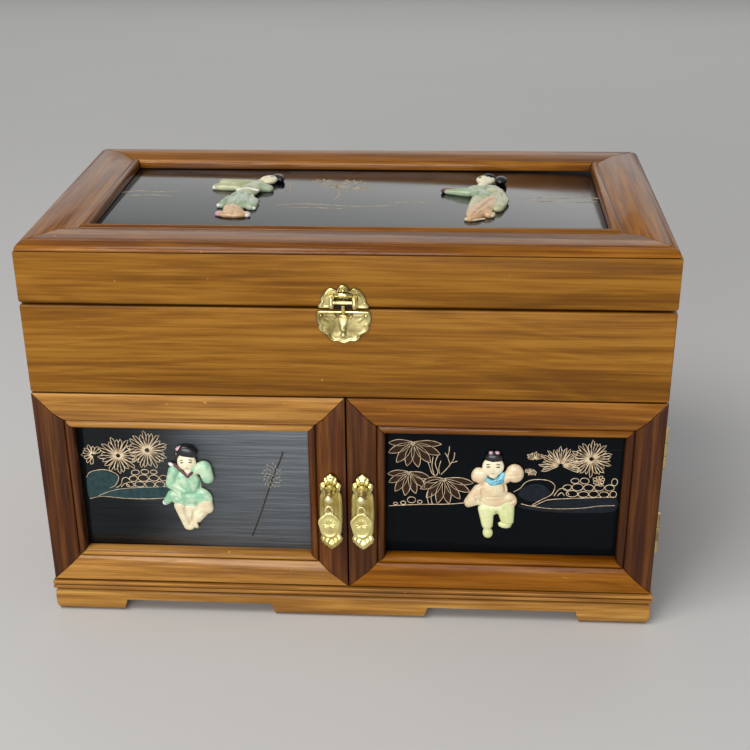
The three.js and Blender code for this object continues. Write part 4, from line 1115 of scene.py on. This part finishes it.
def pad(name, low, high, puff, body, up="z", rolls=1, cells=(36, 16)):
    """A velvet pad in a box. It is flat behind, and its face, towards the named side, is raised in rolls."""
    axis = "xyz".index(up[-1])
    along_axis, across_axis = [i for i in range(3) if i != axis]
    forward = not up.startswith("-")
    columns, rows = cells[0], cells[1] * rolls
    size = [(b - a) / MM for a, b in zip(low, high)]
    vertices, faces = [], []
    for i in range(columns + 1):
        for j in range(rows + 1):
            a, b = i / columns, j / rows
            from_end = min(a, 1 - a) * size[along_axis]
            ends = math.sqrt(max(0.0, 1 - max(0.0, 1 - from_end / END_ROUNDING) ** 2))
            round_top = abs(math.sin(math.pi * b * rolls)) ** 0.55
            crease = 1 - 0.05 * (0.5 + 0.5 * math.sin(0.9 * a * size[along_axis] + 3.1 * int(b * rolls)))
            rise = (size[axis] - puff) + puff * ends * round_top * crease
            point = [0.0, 0.0, 0.0]
            point[along_axis] = low[along_axis] + a * (high[along_axis] - low[along_axis])
            point[across_axis] = low[across_axis] + b * (high[across_axis] - low[across_axis])
            point[axis] = low[axis] + rise * MM if forward else high[axis] - rise * MM
            vertices.append(tuple(point))
    wide = rows + 1
    for i in range(columns):
        for j in range(rows):
            k = i * wide + j
            faces.append((k, k + wide, k + wide + 1, k + 1))
    border = list(range(rows)) + [i * wide + rows for i in range(columns)]
    border += [columns * wide + j for j in range(rows, 0, -1)] + [i * wide for i in range(columns, 0, -1)]
    base = len(vertices)
    for k in border:
        point = list(vertices[k])
        point[axis] = low[axis] if forward else high[axis]
        vertices.append(tuple(point))
    count = len(border)
    for n in range(count):
        m = (n + 1) % count
        faces.append((border[n], border[m], base + m, base + n))
    faces.append(tuple(base + n for n in range(count)))
    obj = facing_out(add_mesh(name, vertices, faces, [VELVET], body))
    return obj


def line_the_inside():
    """Ring rolls, pads and wall linings in the upper compartment, and a pad in each drawer."""
    low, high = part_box("ring_pad")
    rolls = pad("ring_rolls", low, high, 5.5, "case", rolls=4, cells=(80, 12))
    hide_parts("ring_pad")
    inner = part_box("compartment_floor")
    left, right, rear = inner[0][0], inner[1][0], inner[1][1]
    floor = inner[1][2] + 0.1 * MM
    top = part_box("compartment_divider")[1][2]
    front = -25.2 * MM      # just behind the ring rolls
    gap, middle, wall, hair = 1.2 * MM, 2.6 * MM, 0.8 * MM, 0.05 * MM
    for side, start, end in (("left", left + gap, -middle), ("right", middle, right - gap)):
        pad(f"compartment_pad_{side}", (start, front, floor), (end, rear - gap, floor + 2.2 * MM), 0.9,
            "case")
    foot = floor + 2.4 * MM
    for side, start, end, up in (
            ("left", (left + hair, front), (left + wall, rear - gap), "x"),
            ("right", (right - wall, front), (right - hair, rear - gap), "-x"),
            ("rear", (left + gap, rear - wall), (right - gap, rear - hair), "-y")):
        pad(f"lining_{side}", (*start, foot), (*end, top), 0.3, "case", up=up)
    margin = 5.4 * MM
    for door in DOORS:
        for level in LEVELS:
            body = f"drawer_{door}_{level}"
            low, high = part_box(body)
            pad(f"{body}_pad", (low[0] + margin, low[1] + 8.4 * MM, low[2] + 4.05 * MM),
                (high[0] - margin, high[1] - margin, low[2] + 6.2 * MM), 0.9, body)


line_the_inside()


# ---------------------------------------------------------------- stage

CAMERA_PLACE = (0.0546, -0.7258, 0.4409)
CAMERA_PITCH, CAMERA_YAW, CAMERA_ROLL = (math.radians(a) for a in (26.40, 3.97, -0.69))
FLOOR_REACH = 6


def place_camera():
    lens = bpy.data.cameras.new("camera")
    lens.lens = 63.9
    lens.sensor_width = 36.0
    lens.shift_x = 0.0133
    lens.shift_y = 0.0667
    camera = bpy.data.objects.new("camera", lens)
    flat = math.cos(CAMERA_PITCH)
    forward = Vector((-math.sin(CAMERA_YAW) * flat, math.cos(CAMERA_YAW) * flat, -math.sin(CAMERA_PITCH)))
    level = Vector((math.cos(CAMERA_YAW), math.sin(CAMERA_YAW), 0.0))
    above = level.cross(forward)
    right = math.cos(CAMERA_ROLL) * level + math.sin(CAMERA_ROLL) * above
    up = math.cos(CAMERA_ROLL) * above - math.sin(CAMERA_ROLL) * level
    turned_to = Matrix((right, up, -forward)).transposed().to_4x4()
    camera.matrix_world = Matrix.Translation(CAMERA_PLACE) @ turned_to
    bpy.context.scene.collection.objects.link(camera)
    bpy.context.scene.camera = camera


def softbox(name, place, target, size, power, colour):
    light = bpy.data.lights.new(name, "AREA")
    light.shape = "RECTANGLE"
    light.size, light.size_y = size
    light.energy = power
    light.color = colour
    lamp = bpy.data.objects.new(name, light)
    lamp.location = place
    lamp.rotation_euler = (Vector(target) - Vector(place)).to_track_quat("-Z", "Y").to_euler()
    bpy.context.scene.collection.objects.link(lamp)


def build_stage():
    """The camera, a pale floor and soft studio lights."""
    place_camera()
    mesh = bpy.data.meshes.new("floor")
    corners = [(x * FLOOR_REACH, y * FLOOR_REACH, 0) for x, y in ((-1, -1), (1, -1), (1, 1), (-1, 1))]
    mesh.from_pydata(corners, [], [(0, 1, 2, 3)])
    floor = bpy.data.objects.new("floor", mesh)
    s = Shader("floor_paper")
    tone = s.blend(s.noise(3), (0.60, 0.59, 0.575), (0.64, 0.63, 0.61))
    mesh.materials.append(s.finish(Base_Color=tone, Roughness=0.85))
    bpy.context.scene.collection.objects.link(floor)
    softbox("front", (-0.35, -1.95, 0.62), (0, 0, 0.1), (1.7, 0.75), 27, (0.93, 0.96, 1.0))
    softbox("above", (-0.7, -0.9, 1.8), (0, 0, 0.1), (1.0, 1.0), 20, (1.0, 0.97, 0.93))
    softbox("rear", (0.1, 2.1, 0.95), (0, 0, 0.25), (3.4, 1.0), 9, (1.0, 0.99, 0.95))
    world = bpy.data.worlds.new("studio")
    world.use_nodes = True
    world.node_tree.nodes["Background"].inputs["Color"].default_value = (0.92, 0.95, 1.0, 1.0)
    world.node_tree.nodes["Background"].inputs["Strength"].default_value = 0.30
    bpy.context.scene.world = world
    bpy.context.scene.view_settings.view_transform = "Standard"


build_stage()
